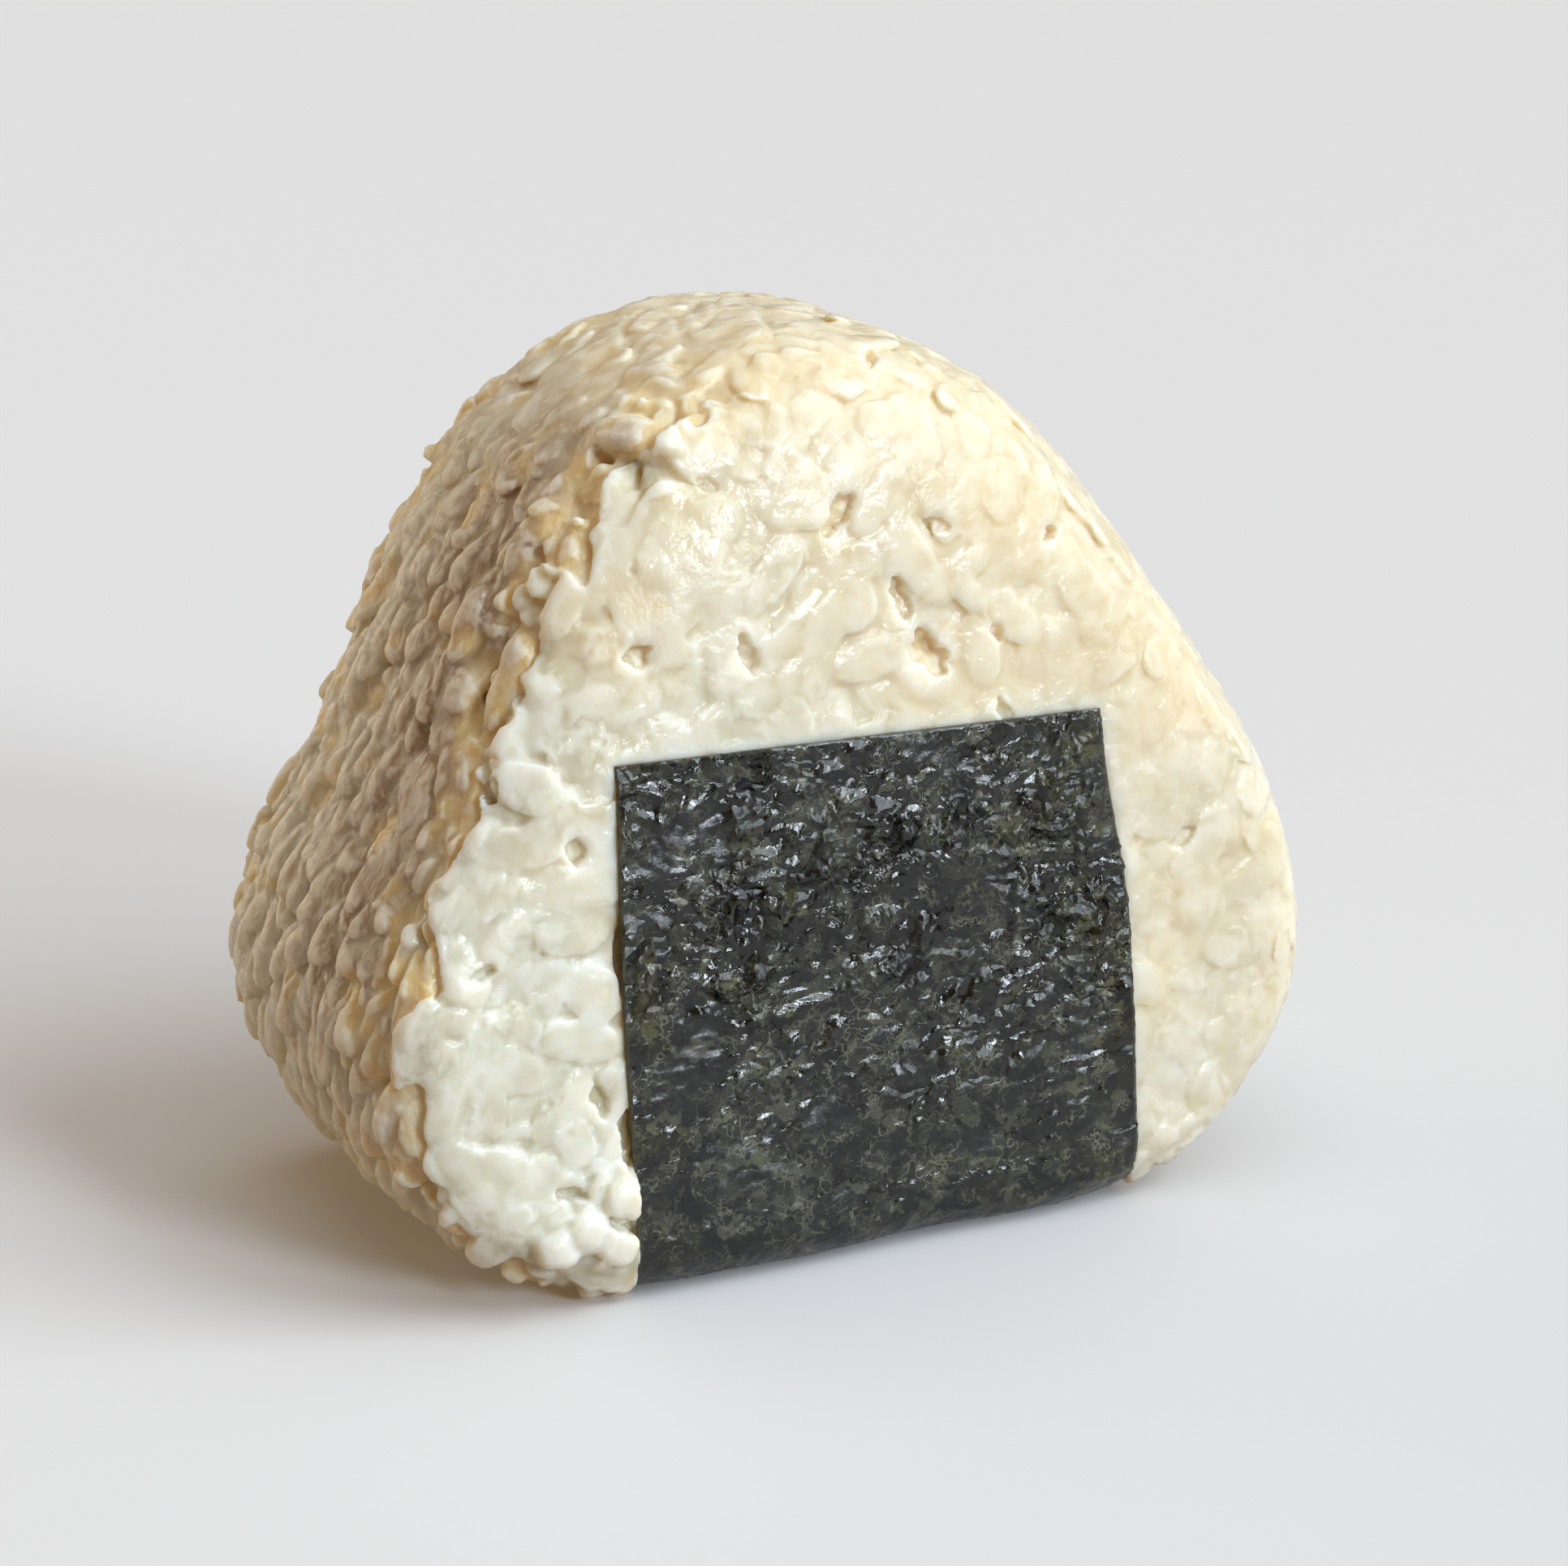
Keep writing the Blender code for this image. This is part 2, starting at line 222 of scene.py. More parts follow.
def meshObject(name, points, faces):
    data = bpy.data.meshes.new(name)
    data.from_pydata([tuple(p) for p in points], [], faces)
    data.validate()
    made = bpy.data.objects.new(name, data)
    bpy.context.scene.collection.objects.link(made)
    return made


def coordinates(data):
    flat = np.empty(len(data.vertices) * 3, dtype=np.float32)
    data.vertices.foreach_get("co", flat)
    return flat.reshape(-1, 3).astype(float)


def setCoordinates(data, points):
    data.vertices.foreach_set("co", points.astype(np.float32).ravel())
    data.update()


def vertexNormals(data):
    flat = np.empty(len(data.vertices) * 3, dtype=np.float32)
    data.vertex_normals.foreach_get("vector", flat)
    return flat.reshape(-1, 3).astype(float)


def setValues(data, name, values):
    layer = data.attributes.new(name, "FLOAT", "POINT")
    layer.data.foreach_set("value", np.asarray(values, dtype=np.float32))


def baked(made):  # the object's modifiers, applied
    bpy.context.view_layer.update()
    graph = bpy.context.evaluated_depsgraph_get()
    data = bpy.data.meshes.new_from_object(made.evaluated_get(graph))
    made.modifiers.clear()
    old, made.data = made.data, data
    bpy.data.meshes.remove(old)
    return made


def smoothNormals(points, faces):  # the mean of the normals of the faces round each point
    total = np.zeros_like(points)
    for size in (3, 4):
        ring = np.array([face for face in faces if len(face) == size])
        first = points[ring[:, size // 2]] - points[ring[:, 0]]
        second = points[ring[:, -1]] - points[ring[:, 1]]
        for corner in range(size):
            np.add.at(total, ring[:, corner], np.cross(first, second))
    return total / np.linalg.norm(total, axis=1)[:, None]


guidePoints, guideFaces = bodyGrid()
guideNormals = smoothNormals(guidePoints, guideFaces)
guideTree = BVHTree.FromPolygons([tuple(p) for p in guidePoints], guideFaces)


def fromGuide(points):  # signed distance to the guide and its smooth outward normal, for each point
    distance = np.empty(len(points))
    outward = np.empty((len(points), 3))
    corners = [Vector(p) for p in guidePoints]
    for index, point in enumerate(points):
        spot, normal, face, _ = guideTree.find_nearest(Vector(point))
        distance[index] = (Vector(point) - spot).dot(normal)
        ring = list(guideFaces[face])
        weights = poly_3d_calc([corners[corner] for corner in ring], spot)
        outward[index] = np.dot(weights, guideNormals[ring])
    return distance, outward / np.linalg.norm(outward, axis=1)[:, None]


print("guide ready:", len(guidePoints), "points")


# Strip of nori: where it lies

strip = {
    "left": -23.2 * mm,
    "right": 22.9 * mm,
    "leftNarrowing": 0.7 * mm,
    "rightNarrowing": 2.0 * mm,
    "narrowsFrom": 25.0 * mm,
    "narrowsOver": 20.0 * mm,
    "frontLeftTop": 44.3 * mm,
    "frontRightTop": 43.4 * mm,
    "backTop": 41.0 * mm,
}


def stripEdges(z):
    share = smoothStep(z, strip["narrowsFrom"], strip["narrowsFrom"] + strip["narrowsOver"])
    return strip["left"] + strip["leftNarrowing"] * share, strip["right"] - strip["rightNarrowing"] * share


def insideStrip(points):  # how far a point lies inside the strip's edges: negative outside them
    x, y, z = points.T
    left, right = stripEdges(z + body["sink"])
    across = np.clip((x - left) / (right - left), 0, 1)
    frontTop = strip["frontLeftTop"] + (strip["frontRightTop"] - strip["frontLeftTop"]) * across
    top = np.where(y < body["lean"] * z, frontTop, strip["backTop"]) - body["sink"]
    return np.minimum(np.minimum(x - left, right - x), top - z)


# Nodes that both finishes are drawn with

def newMaterial(name):
    material = bpy.data.materials.new(name)
    material.use_nodes = True
    nodes = material.node_tree.nodes
    return material, nodes, nodes["Principled BSDF"]


def feed(socket, source):  # a link from another node, or a plain value
    if isinstance(source, bpy.types.NodeSocket):
        socket.id_data.links.new(source, socket)
    elif socket.type == "RGBA":
        socket.default_value = (*source, 1.0)
    else:
        socket.default_value = source


def calc(nodes, operation, first, second=0.0, third=0.0, clamp=False):
    node = nodes.new("ShaderNodeMath")
    node.operation = operation
    node.use_clamp = clamp
    for socket, source in zip(node.inputs, (first, second, third)):
        feed(socket, source)
    return node.outputs[0]


def attribute(nodes, name):
    node = nodes.new("ShaderNodeAttribute")
    node.attribute_name = name
    return node.outputs["Fac"]


def ownPlace(nodes):  # the object's own coordinates, from one node in each material
    place = nodes.get("ownPlace")
    if place is None:
        place = nodes.new("ShaderNodeTexCoord")
        place.name = "ownPlace"
    return place.outputs["Object"]


def texture(nodes, scale, detail, rough=0.5, distort=0.0):
    node = nodes.new("ShaderNodeTexNoise")
    node.inputs["Scale"].default_value = scale
    node.inputs["Detail"].default_value = detail
    node.inputs["Roughness"].default_value = rough
    node.inputs["Distortion"].default_value = distort
    feed(node.inputs["Vector"], ownPlace(nodes))
    return node.outputs["Fac"]


def warped(nodes, scale, detail, amount):  # the object's coordinates, bent by a noise
    bend = nodes.new("ShaderNodeTexNoise")
    bend.inputs["Scale"].default_value = scale
    bend.inputs["Detail"].default_value = detail
    feed(bend.inputs["Vector"], ownPlace(nodes))
    push = nodes.new("ShaderNodeVectorMath")
    push.operation = "MULTIPLY_ADD"
    feed(push.inputs[0], bend.outputs["Color"])
    feed(push.inputs[1], (amount,) * 3)
    feed(push.inputs[2], ownPlace(nodes))
    return push.outputs[0]


def stretched(nodes, place, factors):
    node = nodes.new("ShaderNodeVectorMath")
    node.operation = "MULTIPLY"
    feed(node.inputs[0], place)
    feed(node.inputs[1], factors)
    return node.outputs[0]


def cells(nodes, place, scale, feature="F1"):
    node = nodes.new("ShaderNodeTexVoronoi")
    node.feature = feature
    node.inputs["Scale"].default_value = scale
    feed(node.inputs["Vector"], place)
    return node.outputs


def ramp(nodes, source, *stops):  # each stop is a place with a colour, or with a number for a grey
    node = nodes.new("ShaderNodeValToRGB")
    feed(node.inputs[0], source)
    elements = node.color_ramp.elements
    while len(elements) < len(stops):
        elements.new(0.5)
    for element, (at, colour) in zip(elements, stops):
        element.position = at
        element.color = (*(colour if isinstance(colour, tuple) else (colour,) * 3), 1.0)
    return node.outputs["Color"]


def mix(nodes, factor, first, second, blend="MIX"):
    node = nodes.new("ShaderNodeMix")
    node.data_type = "RGBA"
    node.blend_type = blend
    feed(node.inputs["Factor"], factor)
    feed(node.inputs[6], first)
    feed(node.inputs[7], second)
    return node.outputs[2]


def bump(nodes, height, distance, strength=1.0, under=None):
    node = nodes.new("ShaderNodeBump")
    node.inputs["Strength"].default_value = strength
    node.inputs["Distance"].default_value = distance
    feed(node.inputs["Height"], height)
    if under is not None:
        feed(node.inputs["Normal"], under)
    return node.outputs[0]


# Rice: one pressed mass of grains

rice = {
    "grainLength": 7.0 * mm,
    "grainWidth": 3.5 * mm,
    "grainThickness": 2.8 * mm,
    "variants": 10,
    "spacing": 2.0 * mm,
    "density": 900000.0,
    "coreDepthSide": 1.4 * mm,
    "coreDepthFace": 0.8 * mm,
    "coreDepthStrip": 0.65 * mm,
    "sideLevel": 0.85 * mm,
    "faceLevel": 0.74 * mm,
    "faceSpread": 0.5 * mm,
    "sideSpread": 0.55 * mm,
    "faceFlatten": 0.56,
    "sideFlatten": 0.68,
    "underStrip": 1.2 * mm,
    "voxel": 0.25 * mm,
    "crispness": 1.0,
    "overhang": 0.18 * mm,
    "undercut": 0.5 * mm,
    "sideCalm": -0.1,
    "faceCalm": 0.6,
    "rightCalm": 0.15,
    "backRelief": 0.6,
    "restDepth": 0.12 * mm,
    "faceCap": 0.06 * mm,
    "sideCap": 0.85 * mm,
    "stripCap": -0.5 * mm,
    "lump": 0.06 * mm,
    "floorGap": 0.05 * mm,
    "triangles": 196000,
    "seed": 7,
    "lessLitWhiteTones": ((0.55, 0.53, 0.39), (0.67, 0.66, 0.53), (0.76, 0.765, 0.68)),
    "paintedLitCreamTones": ((0.74, 0.62, 0.38), (0.79, 0.69, 0.47), (0.825, 0.745, 0.54)),
    "milky": ((0.765, 0.77, 0.70), (0.81, 0.75, 0.58)),  # this and the next three: colour on the white part, then on the brighter, warmer part with painted light
    # the next three: painted warm glow in the creases, painted shade along the plate seams, painted warm glow
    # in the pits
    "paintedCreaseGlow": ((0.72, 0.68, 0.50), (0.84, 0.70, 0.44)),
    "paintedSeamShade": ((0.66, 0.63, 0.46), (0.81, 0.69, 0.45)),
    "paintedPitGlow": ((0.66, 0.58, 0.36), (0.80, 0.61, 0.32)),
    "shadeColour": (0.37, 0.265, 0.175),
    # painted warm glow in the recesses, then painted light on the convex edges
    "paintedRecessGlowColour": (0.80, 0.61, 0.28),
    "paintedEdgeLightColour": (0.86, 0.84, 0.74),
    "plateScale": 330,
    "shingleScale": 560,
    "plateRelief": -0.15,
    "shingleRelief": 0.26,
    "wetFilm": 0.14 * mm,
    "finish": {
        "Coat Weight": 0.8,
        "Coat Roughness": 0.22,
        "Coat IOR": 1.38,
        "Specular IOR Level": 0.25,
        "Subsurface Weight": 1.0,
        "Subsurface Radius": (1.0, 0.74, 0.48),
        "Subsurface Scale": 2.6 * mm,
        "IOR": 1.42,
    },
}

pits = [  # photo x, y, length, width in mm, angle in the photo, depth in mm
    (787, 804, 2.9, 2.3, 40, 1.0),
    (1037, 633, 4.4, 2.1, 62, 1.1),
    (1112, 738, 5.0, 1.6, -72, 0.9),
    (1143, 800, 5.0, 2.4, -52, 1.3),
    (1228, 778, 1.7, 1.2, -60, 0.9),
    (921, 806, 3.8, 1.6, -65, 1.0),
    (872, 596, 2.0, 1.0, -20, 0.8),
    (1157, 646, 2.6, 1.1, -15, 0.7),
    (1296, 658, 2.8, 1.6, 60, 0.8),
    (1072, 437, 3.2, 1.5, -82, 0.8),
    (606, 980, 2.0, 1.6, 70, 1.5),
    (711, 1052, 3.0, 1.7, -78, 1.1),
    (595, 1202, 2.6, 1.2, 20, 1.0),
    (768, 1180, 6.0, 1.6, -86, 0.8),
    (742, 1356, 3.0, 1.9, -70, 1.1),
    (776, 1402, 5.4, 2.0, -86, 1.3),
    (703, 1473, 3.0, 1.3, -12, 1.0),
    (764, 1508, 3.6, 1.6, -25, 1.3),
    (1238, 878, 2.4, 1.2, -62, 0.8),
    (1460, 1030, 3.0, 1.4, 40, 0.7),
]

singleGrains = [  # photo x, y, angle in the photo, then length, width, thickness, middle's depth in mm, tone
    (790, 542, -9, 7.8, 3.6, 3.3, 0.0, 0.85),
    (736, 592, 50, 4.0, 3.0, 2.6, 0.6, 0.7),
    (711, 566, 65, 3.8, 2.6, 2.4, 0.4, 0.9),
    (802, 640, 58, 7.4, 3.4, 2.4, 0.55, 0.9),
    (868, 560, 30, 5.6, 3.2, 2.2, 0.5, 0.8),
    (987, 628, 4, 6.6, 3.4, 2.2, 0.5, 0.7),
    (954, 706, 55, 8.0, 3.4, 2.2, 0.55, 0.95),
    (966, 795, 50, 8.4, 3.8, 2.2, 0.6, 0.9),
    (1085, 612, 62, 7.6, 3.2, 2.2, 0.5, 0.6),
    (1128, 690, -62, 8.0, 3.6, 2.4, 0.4, 0.75),
    (1190, 724, -50, 6.4, 2.6, 2.2, 0.45, 0.8),
    (625, 834, 66, 9.0, 3.2, 2.6, 0.5, 0.5),
    (697, 741, 62, 7.6, 3.2, 2.4, 0.45, 0.55),
    (748, 700, 60, 8.6, 3.2, 2.2, 0.5, 0.6),
    (584, 772, 68, 7.2, 3.6, 3.2, 0.1, 0.95),
    (662, 655, 20, 4.4, 3.6, 3.0, 0.6, 0.75),
    (641, 690, 80, 4.2, 3.4, 2.8, 0.5, 0.8),
    (776, 467, 62, 4.6, 2.6, 2.4, 0.4, 0.8),
    (650, 970, -16, 6.0, 4.2, 2.6, 0.3, 0.85),
    (735, 1092, 2, 5.4, 3.4, 2.2, 0.45, 0.8),
    (734, 1222, -30, 5.4, 4.8, 2.2, 0.35, 1.0),
    (714, 1282, -6, 7.8, 3.6, 2.4, 0.35, 1.0),
    (710, 1408, -62, 4.6, 3.2, 2.6, 0.4, 0.95),
    (594, 1442, -6, 9.0, 4.2, 2.6, 0.4, 0.9),
    (508, 1246, 78, 8.4, 3.6, 2.8, 0.4, 0.7),
    (560, 1362, 60, 7.0, 3.6, 2.6, 0.45, 0.85),
    (686, 1536, 20, 4.0, 3.7, 3.4, 0.1, 0.95),
    (719, 1517, 60, 4.0, 3.6, 3.4, 0.0, 1.0),
    (756, 1530, -30, 4.6, 3.4, 3.2, 0.3, 0.9),
    (764, 1477, 80, 4.4, 3.7, 3.2, 0.1, 0.9),
    (511, 985, 84, 9.0, 5.2, 1.7, 0.3, 0.35),
    (562, 960, 84, 8.0, 5.4, 1.7, 0.2, 0.45),
    (470, 1060, 80, 8.0, 5.0, 1.7, 0.3, 0.35),
    (560, 870, 74, 8.4, 5.0, 1.8, 0.2, 0.4),
]


def makeVariant(index, chance):  # one grain along X: blunt ends, a slight bend and a dent at one end
    length = rice["grainLength"] * chance.uniform(0.86, 1.08) * (0.6, 0.78, 1.0)[min(index, 2)]
    width = rice["grainWidth"] * chance.uniform(0.92, 1.08)
    thickness = rice["grainThickness"] * chance.uniform(0.94, 1.06)
    bend = chance.uniform(0.1, 0.5) * mm
    ringCount, sideCount = 9, 10
    data = bmesh.new()
    rings = []
    for ring in range(1, ringCount):
        t = -math.cos(math.pi * ring / ringCount)
        swell = (1 - abs(t) ** 2.7) ** (1 / 2.3)
        dent = 0.22 * max(0.0, t - 0.45)
        loop = []
        for side in range(sideCount):
            angle = 2 * math.pi * side / sideCount
            across, up = [math.copysign(abs(v) ** 0.62, v) for v in (math.cos(angle), math.sin(angle))]
            y = width / 2 * swell * across + bend * (t * t - 0.4)
            z = thickness / 2 * swell * up
            spot = Vector((t * length / 2 - dent * max(math.cos(angle), 0) * width, y, z))
            lump = noise.noise(spot * 520 + Vector((index * 7.3, 0, 0)))
            loop.append(data.verts.new(spot * (1 + 0.13 * lump)))
        rings.append(loop)
    tips = [data.verts.new((side * length / 2, bend * 0.6, 0)) for side in (-1, 1)]
    for side in range(sideCount):
        after = (side + 1) % sideCount
        data.faces.new((tips[0], rings[0][after], rings[0][side]))
        data.faces.new((tips[1], rings[-1][side], rings[-1][after]))
        for here, there in zip(rings, rings[1:]):
            data.faces.new((here[side], here[after], there[after], there[side]))
    bmesh.ops.recalc_face_normals(data, faces=data.faces)
    mesh = bpy.data.meshes.new(f"grainShape{index}")
    data.to_mesh(mesh)
    data.free()
    return bpy.data.objects.new(f"grainShape{index}", mesh)


def placeSingles(shapes):  # the grains that stand out in the photo, at their own places
    pxPerMm = 14.4
    data = bmesh.new()
    tones, middles = [], []
    for index, (px, py, angle, length, width, thickness, level, tone) in enumerate(singleGrains):
        turned = math.radians(angle)
        reach = np.array([math.cos(turned), -math.sin(turned)]) * length / 3 * pxPerMm
        spots = [guideTree.ray_cast(*photoRay(px + s * reach[0], py + s * reach[1])) for s in (-1, 0, 1)]
        if not all(spot[0] for spot in spots):
            continue
        normal = spots[1][1]
        along = (spots[2][0] - spots[0][0]).normalized()
        along = (along - normal * along.dot(normal)).normalized()
        middle = spots[1][0] - normal * level * mm
        turn = Matrix((along, normal.cross(along), normal)).transposed().to_4x4()
        shape = shapes[2 + index % (len(shapes) - 2)]
        scale = Matrix.Diagonal((length * mm / shape.dimensions.x, width * mm / shape.dimensions.y,
                                 thickness * mm / shape.dimensions.z, 1))
        before = len(data.verts)
        data.from_mesh(shape.data)
        data.verts.ensure_lookup_table()
        bmesh.ops.transform(data, matrix=Matrix.Translation(middle) @ turn @ scale, verts=data.verts[before:])
        tones += [tone] * (len(data.verts) - before)
        middles.append((np.array(spots[1][0]), length * mm, max(0.0, thickness - level - 2.2) * mm))
    mesh = bpy.data.meshes.new("singleGrains")
    data.to_mesh(mesh)
    data.free()
    return mesh, tones, middles


def scatterTree(variants, material):  # grains on a surface: spaced evenly, lying along it, each its own size
    tree = bpy.data.node_groups.new("scatterGrains", "GeometryNodeTree")
    face = tree.interface
    face.new_socket(name="Geometry", in_out="INPUT", socket_type="NodeSocketGeometry")
    face.new_socket(name="Geometry", in_out="OUTPUT", socket_type="NodeSocketGeometry")
    for name, kind in (
        ("Spacing", "Float"),
        ("Density", "Float"),
        ("Side Level", "Float"),
        ("Face Level", "Float"),
        ("Side Spread", "Float"),
        ("Face Spread", "Float"),
        ("Side Flatten", "Float"),
        ("Face Flatten", "Float"),
        ("Seed", "Int"),
    ):
        face.new_socket(name=name, in_out="INPUT", socket_type=f"NodeSocket{kind}")
    nodes = tree.nodes
    group = nodes.new("NodeGroupInput")
    result = nodes.new("NodeGroupOutput")

    def add(kind, settings=None, **inputs):
        node = nodes.new(kind)
        for key, value in (settings or {}).items():
            setattr(node, key, value)
        for key, value in inputs.items():
            feed(node.inputs[key.replace("_", " ")], value)
        return node

    def between(low, high, offset):  # a random number for each grain
        node = nodes.new("FunctionNodeRandomValue")
        node.data_type = "FLOAT"
        sockets = [s for s in node.inputs if s.type == "VALUE"]
        feed(sockets[0], low)
        feed(sockets[1], high)
        feed(node.inputs["Seed"], calc(nodes, "ADD", group.outputs["Seed"], offset))
        return [s for s in node.outputs if s.type == "VALUE"][0]

    def named(name):
        node = add("GeometryNodeInputNamedAttribute", {"data_type": "FLOAT"}, Name=name)
        return [s for s in node.outputs if s.type == "VALUE"][0]

    def vector(x, y, z):
        node = nodes.new("ShaderNodeCombineXYZ")
        for socket, source in zip(node.inputs, (x, y, z)):
            feed(socket, source)
        return node.outputs[0]

    points = add("GeometryNodeDistributePointsOnFaces", {"distribute_method": "POISSON"})
    feed(points.inputs["Mesh"], group.outputs["Geometry"])
    feed(points.inputs["Distance Min"], group.outputs["Spacing"])
    feed(points.inputs["Density Max"], group.outputs["Density"])
    feed(points.inputs["Density Factor"], named("room"))
    feed(points.inputs["Seed"], group.outputs["Seed"])

    flat = named("flat")

    def blend(name):  # from the side's value to the face's
        side, front = group.outputs[f"Side {name}"], group.outputs[f"Face {name}"]
        return calc(nodes, "MULTIPLY_ADD", flat, calc(nodes, "SUBTRACT", front, side), side)

    level = calc(nodes, "MULTIPLY_ADD", between(-1.0, 1.0, 1), blend("Spread"), blend("Level"))
    sunk = nodes.new("ShaderNodeVectorMath")
    sunk.operation = "SCALE"
    feed(sunk.inputs[0], points.outputs["Normal"])
    feed(sunk.inputs["Scale"], calc(nodes, "MULTIPLY", level, -1.0))
    moved = add("GeometryNodeSetPosition")
    feed(moved.inputs["Geometry"], points.outputs["Points"])
    feed(moved.inputs["Offset"], sunk.outputs[0])

    upright = add("FunctionNodeAlignRotationToVector", {"axis": "Z"})
    feed(upright.inputs["Vector"], points.outputs["Normal"])
    along = add("FunctionNodeAlignRotationToVector", {"axis": "X", "pivot_axis": "Z"})
    feed(along.inputs["Rotation"], upright.outputs[0])
    feed(along.inputs["Vector"], vector(0.12, 0.0, 1.0))
    spin = named("spin")
    turn = calc(nodes, "MULTIPLY", between(-1.0, 1.0, 2), spin)
    onSide = calc(nodes, "SUBTRACT", 1.0, flat)  # there each grain leans over the next, like a shingle
    tilt = calc(nodes, "MULTIPLY_ADD", onSide, 0.22, between(-0.13, 0.13, 3))
    spun = add("FunctionNodeRotateRotation", {"rotation_space": "LOCAL"})
    feed(spun.inputs["Rotation"], along.outputs[0])
    euler = nodes.new("FunctionNodeEulerToRotation")
    roll = calc(nodes, "MULTIPLY_ADD", onSide, 0.34, between(-0.22, 0.22, 4))
    feed(euler.inputs[0], vector(roll, tilt, 0.0))
    spinOnly = nodes.new("FunctionNodeEulerToRotation")
    feed(spinOnly.inputs[0], vector(0.0, 0.0, turn))
    feed(spun.inputs["Rotate By"], spinOnly.outputs[0])
    rocked = add("FunctionNodeRotateRotation", {"rotation_space": "LOCAL"})
    feed(rocked.inputs["Rotation"], spun.outputs[0])
    feed(rocked.inputs["Rotate By"], euler.outputs[0])

    thin = blend("Flatten")
    wide = calc(nodes, "ADD", 1.0, calc(nodes, "MULTIPLY", flat, 0.18))
    size = vector(
        between(0.84, 1.12, 5),
        calc(nodes, "MULTIPLY", between(0.9, 1.12, 6), wide),
        calc(nodes, "MULTIPLY", between(0.9, 1.1, 7), thin),
    )

    shapes = add("GeometryNodeCollectionInfo", {"transform_space": "ORIGINAL"})
    shapes.inputs["Collection"].default_value = variants
    shapes.inputs["Separate Children"].default_value = True
    shapes.inputs["Reset Children"].default_value = True
    placed = add("GeometryNodeInstanceOnPoints")
    feed(placed.inputs["Points"], moved.outputs[0])
    feed(placed.inputs["Instance"], shapes.outputs[0])
    placed.inputs["Pick Instance"].default_value = True
    pick = nodes.new("FunctionNodeRandomValue")
    pick.data_type = "INT"
    whole = [s for s in pick.inputs if s.type == "INT"]
    whole[0].default_value = 0
    whole[1].default_value = rice["variants"] - 1
    feed(pick.inputs["Seed"], calc(nodes, "ADD", group.outputs["Seed"], 8))
    feed(placed.inputs["Instance Index"], [s for s in pick.outputs if s.type == "INT"][0])
    feed(placed.inputs["Rotation"], rocked.outputs[0])
    feed(placed.inputs["Scale"], size)

    tone = add("GeometryNodeStoreNamedAttribute", {"data_type": "FLOAT", "domain": "INSTANCE"}, Name="tone")
    feed(tone.inputs["Geometry"], placed.outputs[0])
    feed([s for s in tone.inputs if s.name == "Value"][0], between(0.0, 1.0, 9))
    real = add("GeometryNodeRealizeInstances")
    feed(real.inputs["Geometry"], tone.outputs[0])
    dressed = add("GeometryNodeSetMaterial")
    feed(dressed.inputs["Geometry"], real.outputs[0])
    dressed.inputs["Material"].default_value = material
    feed(result.inputs[0], dressed.outputs[0])
    return tree


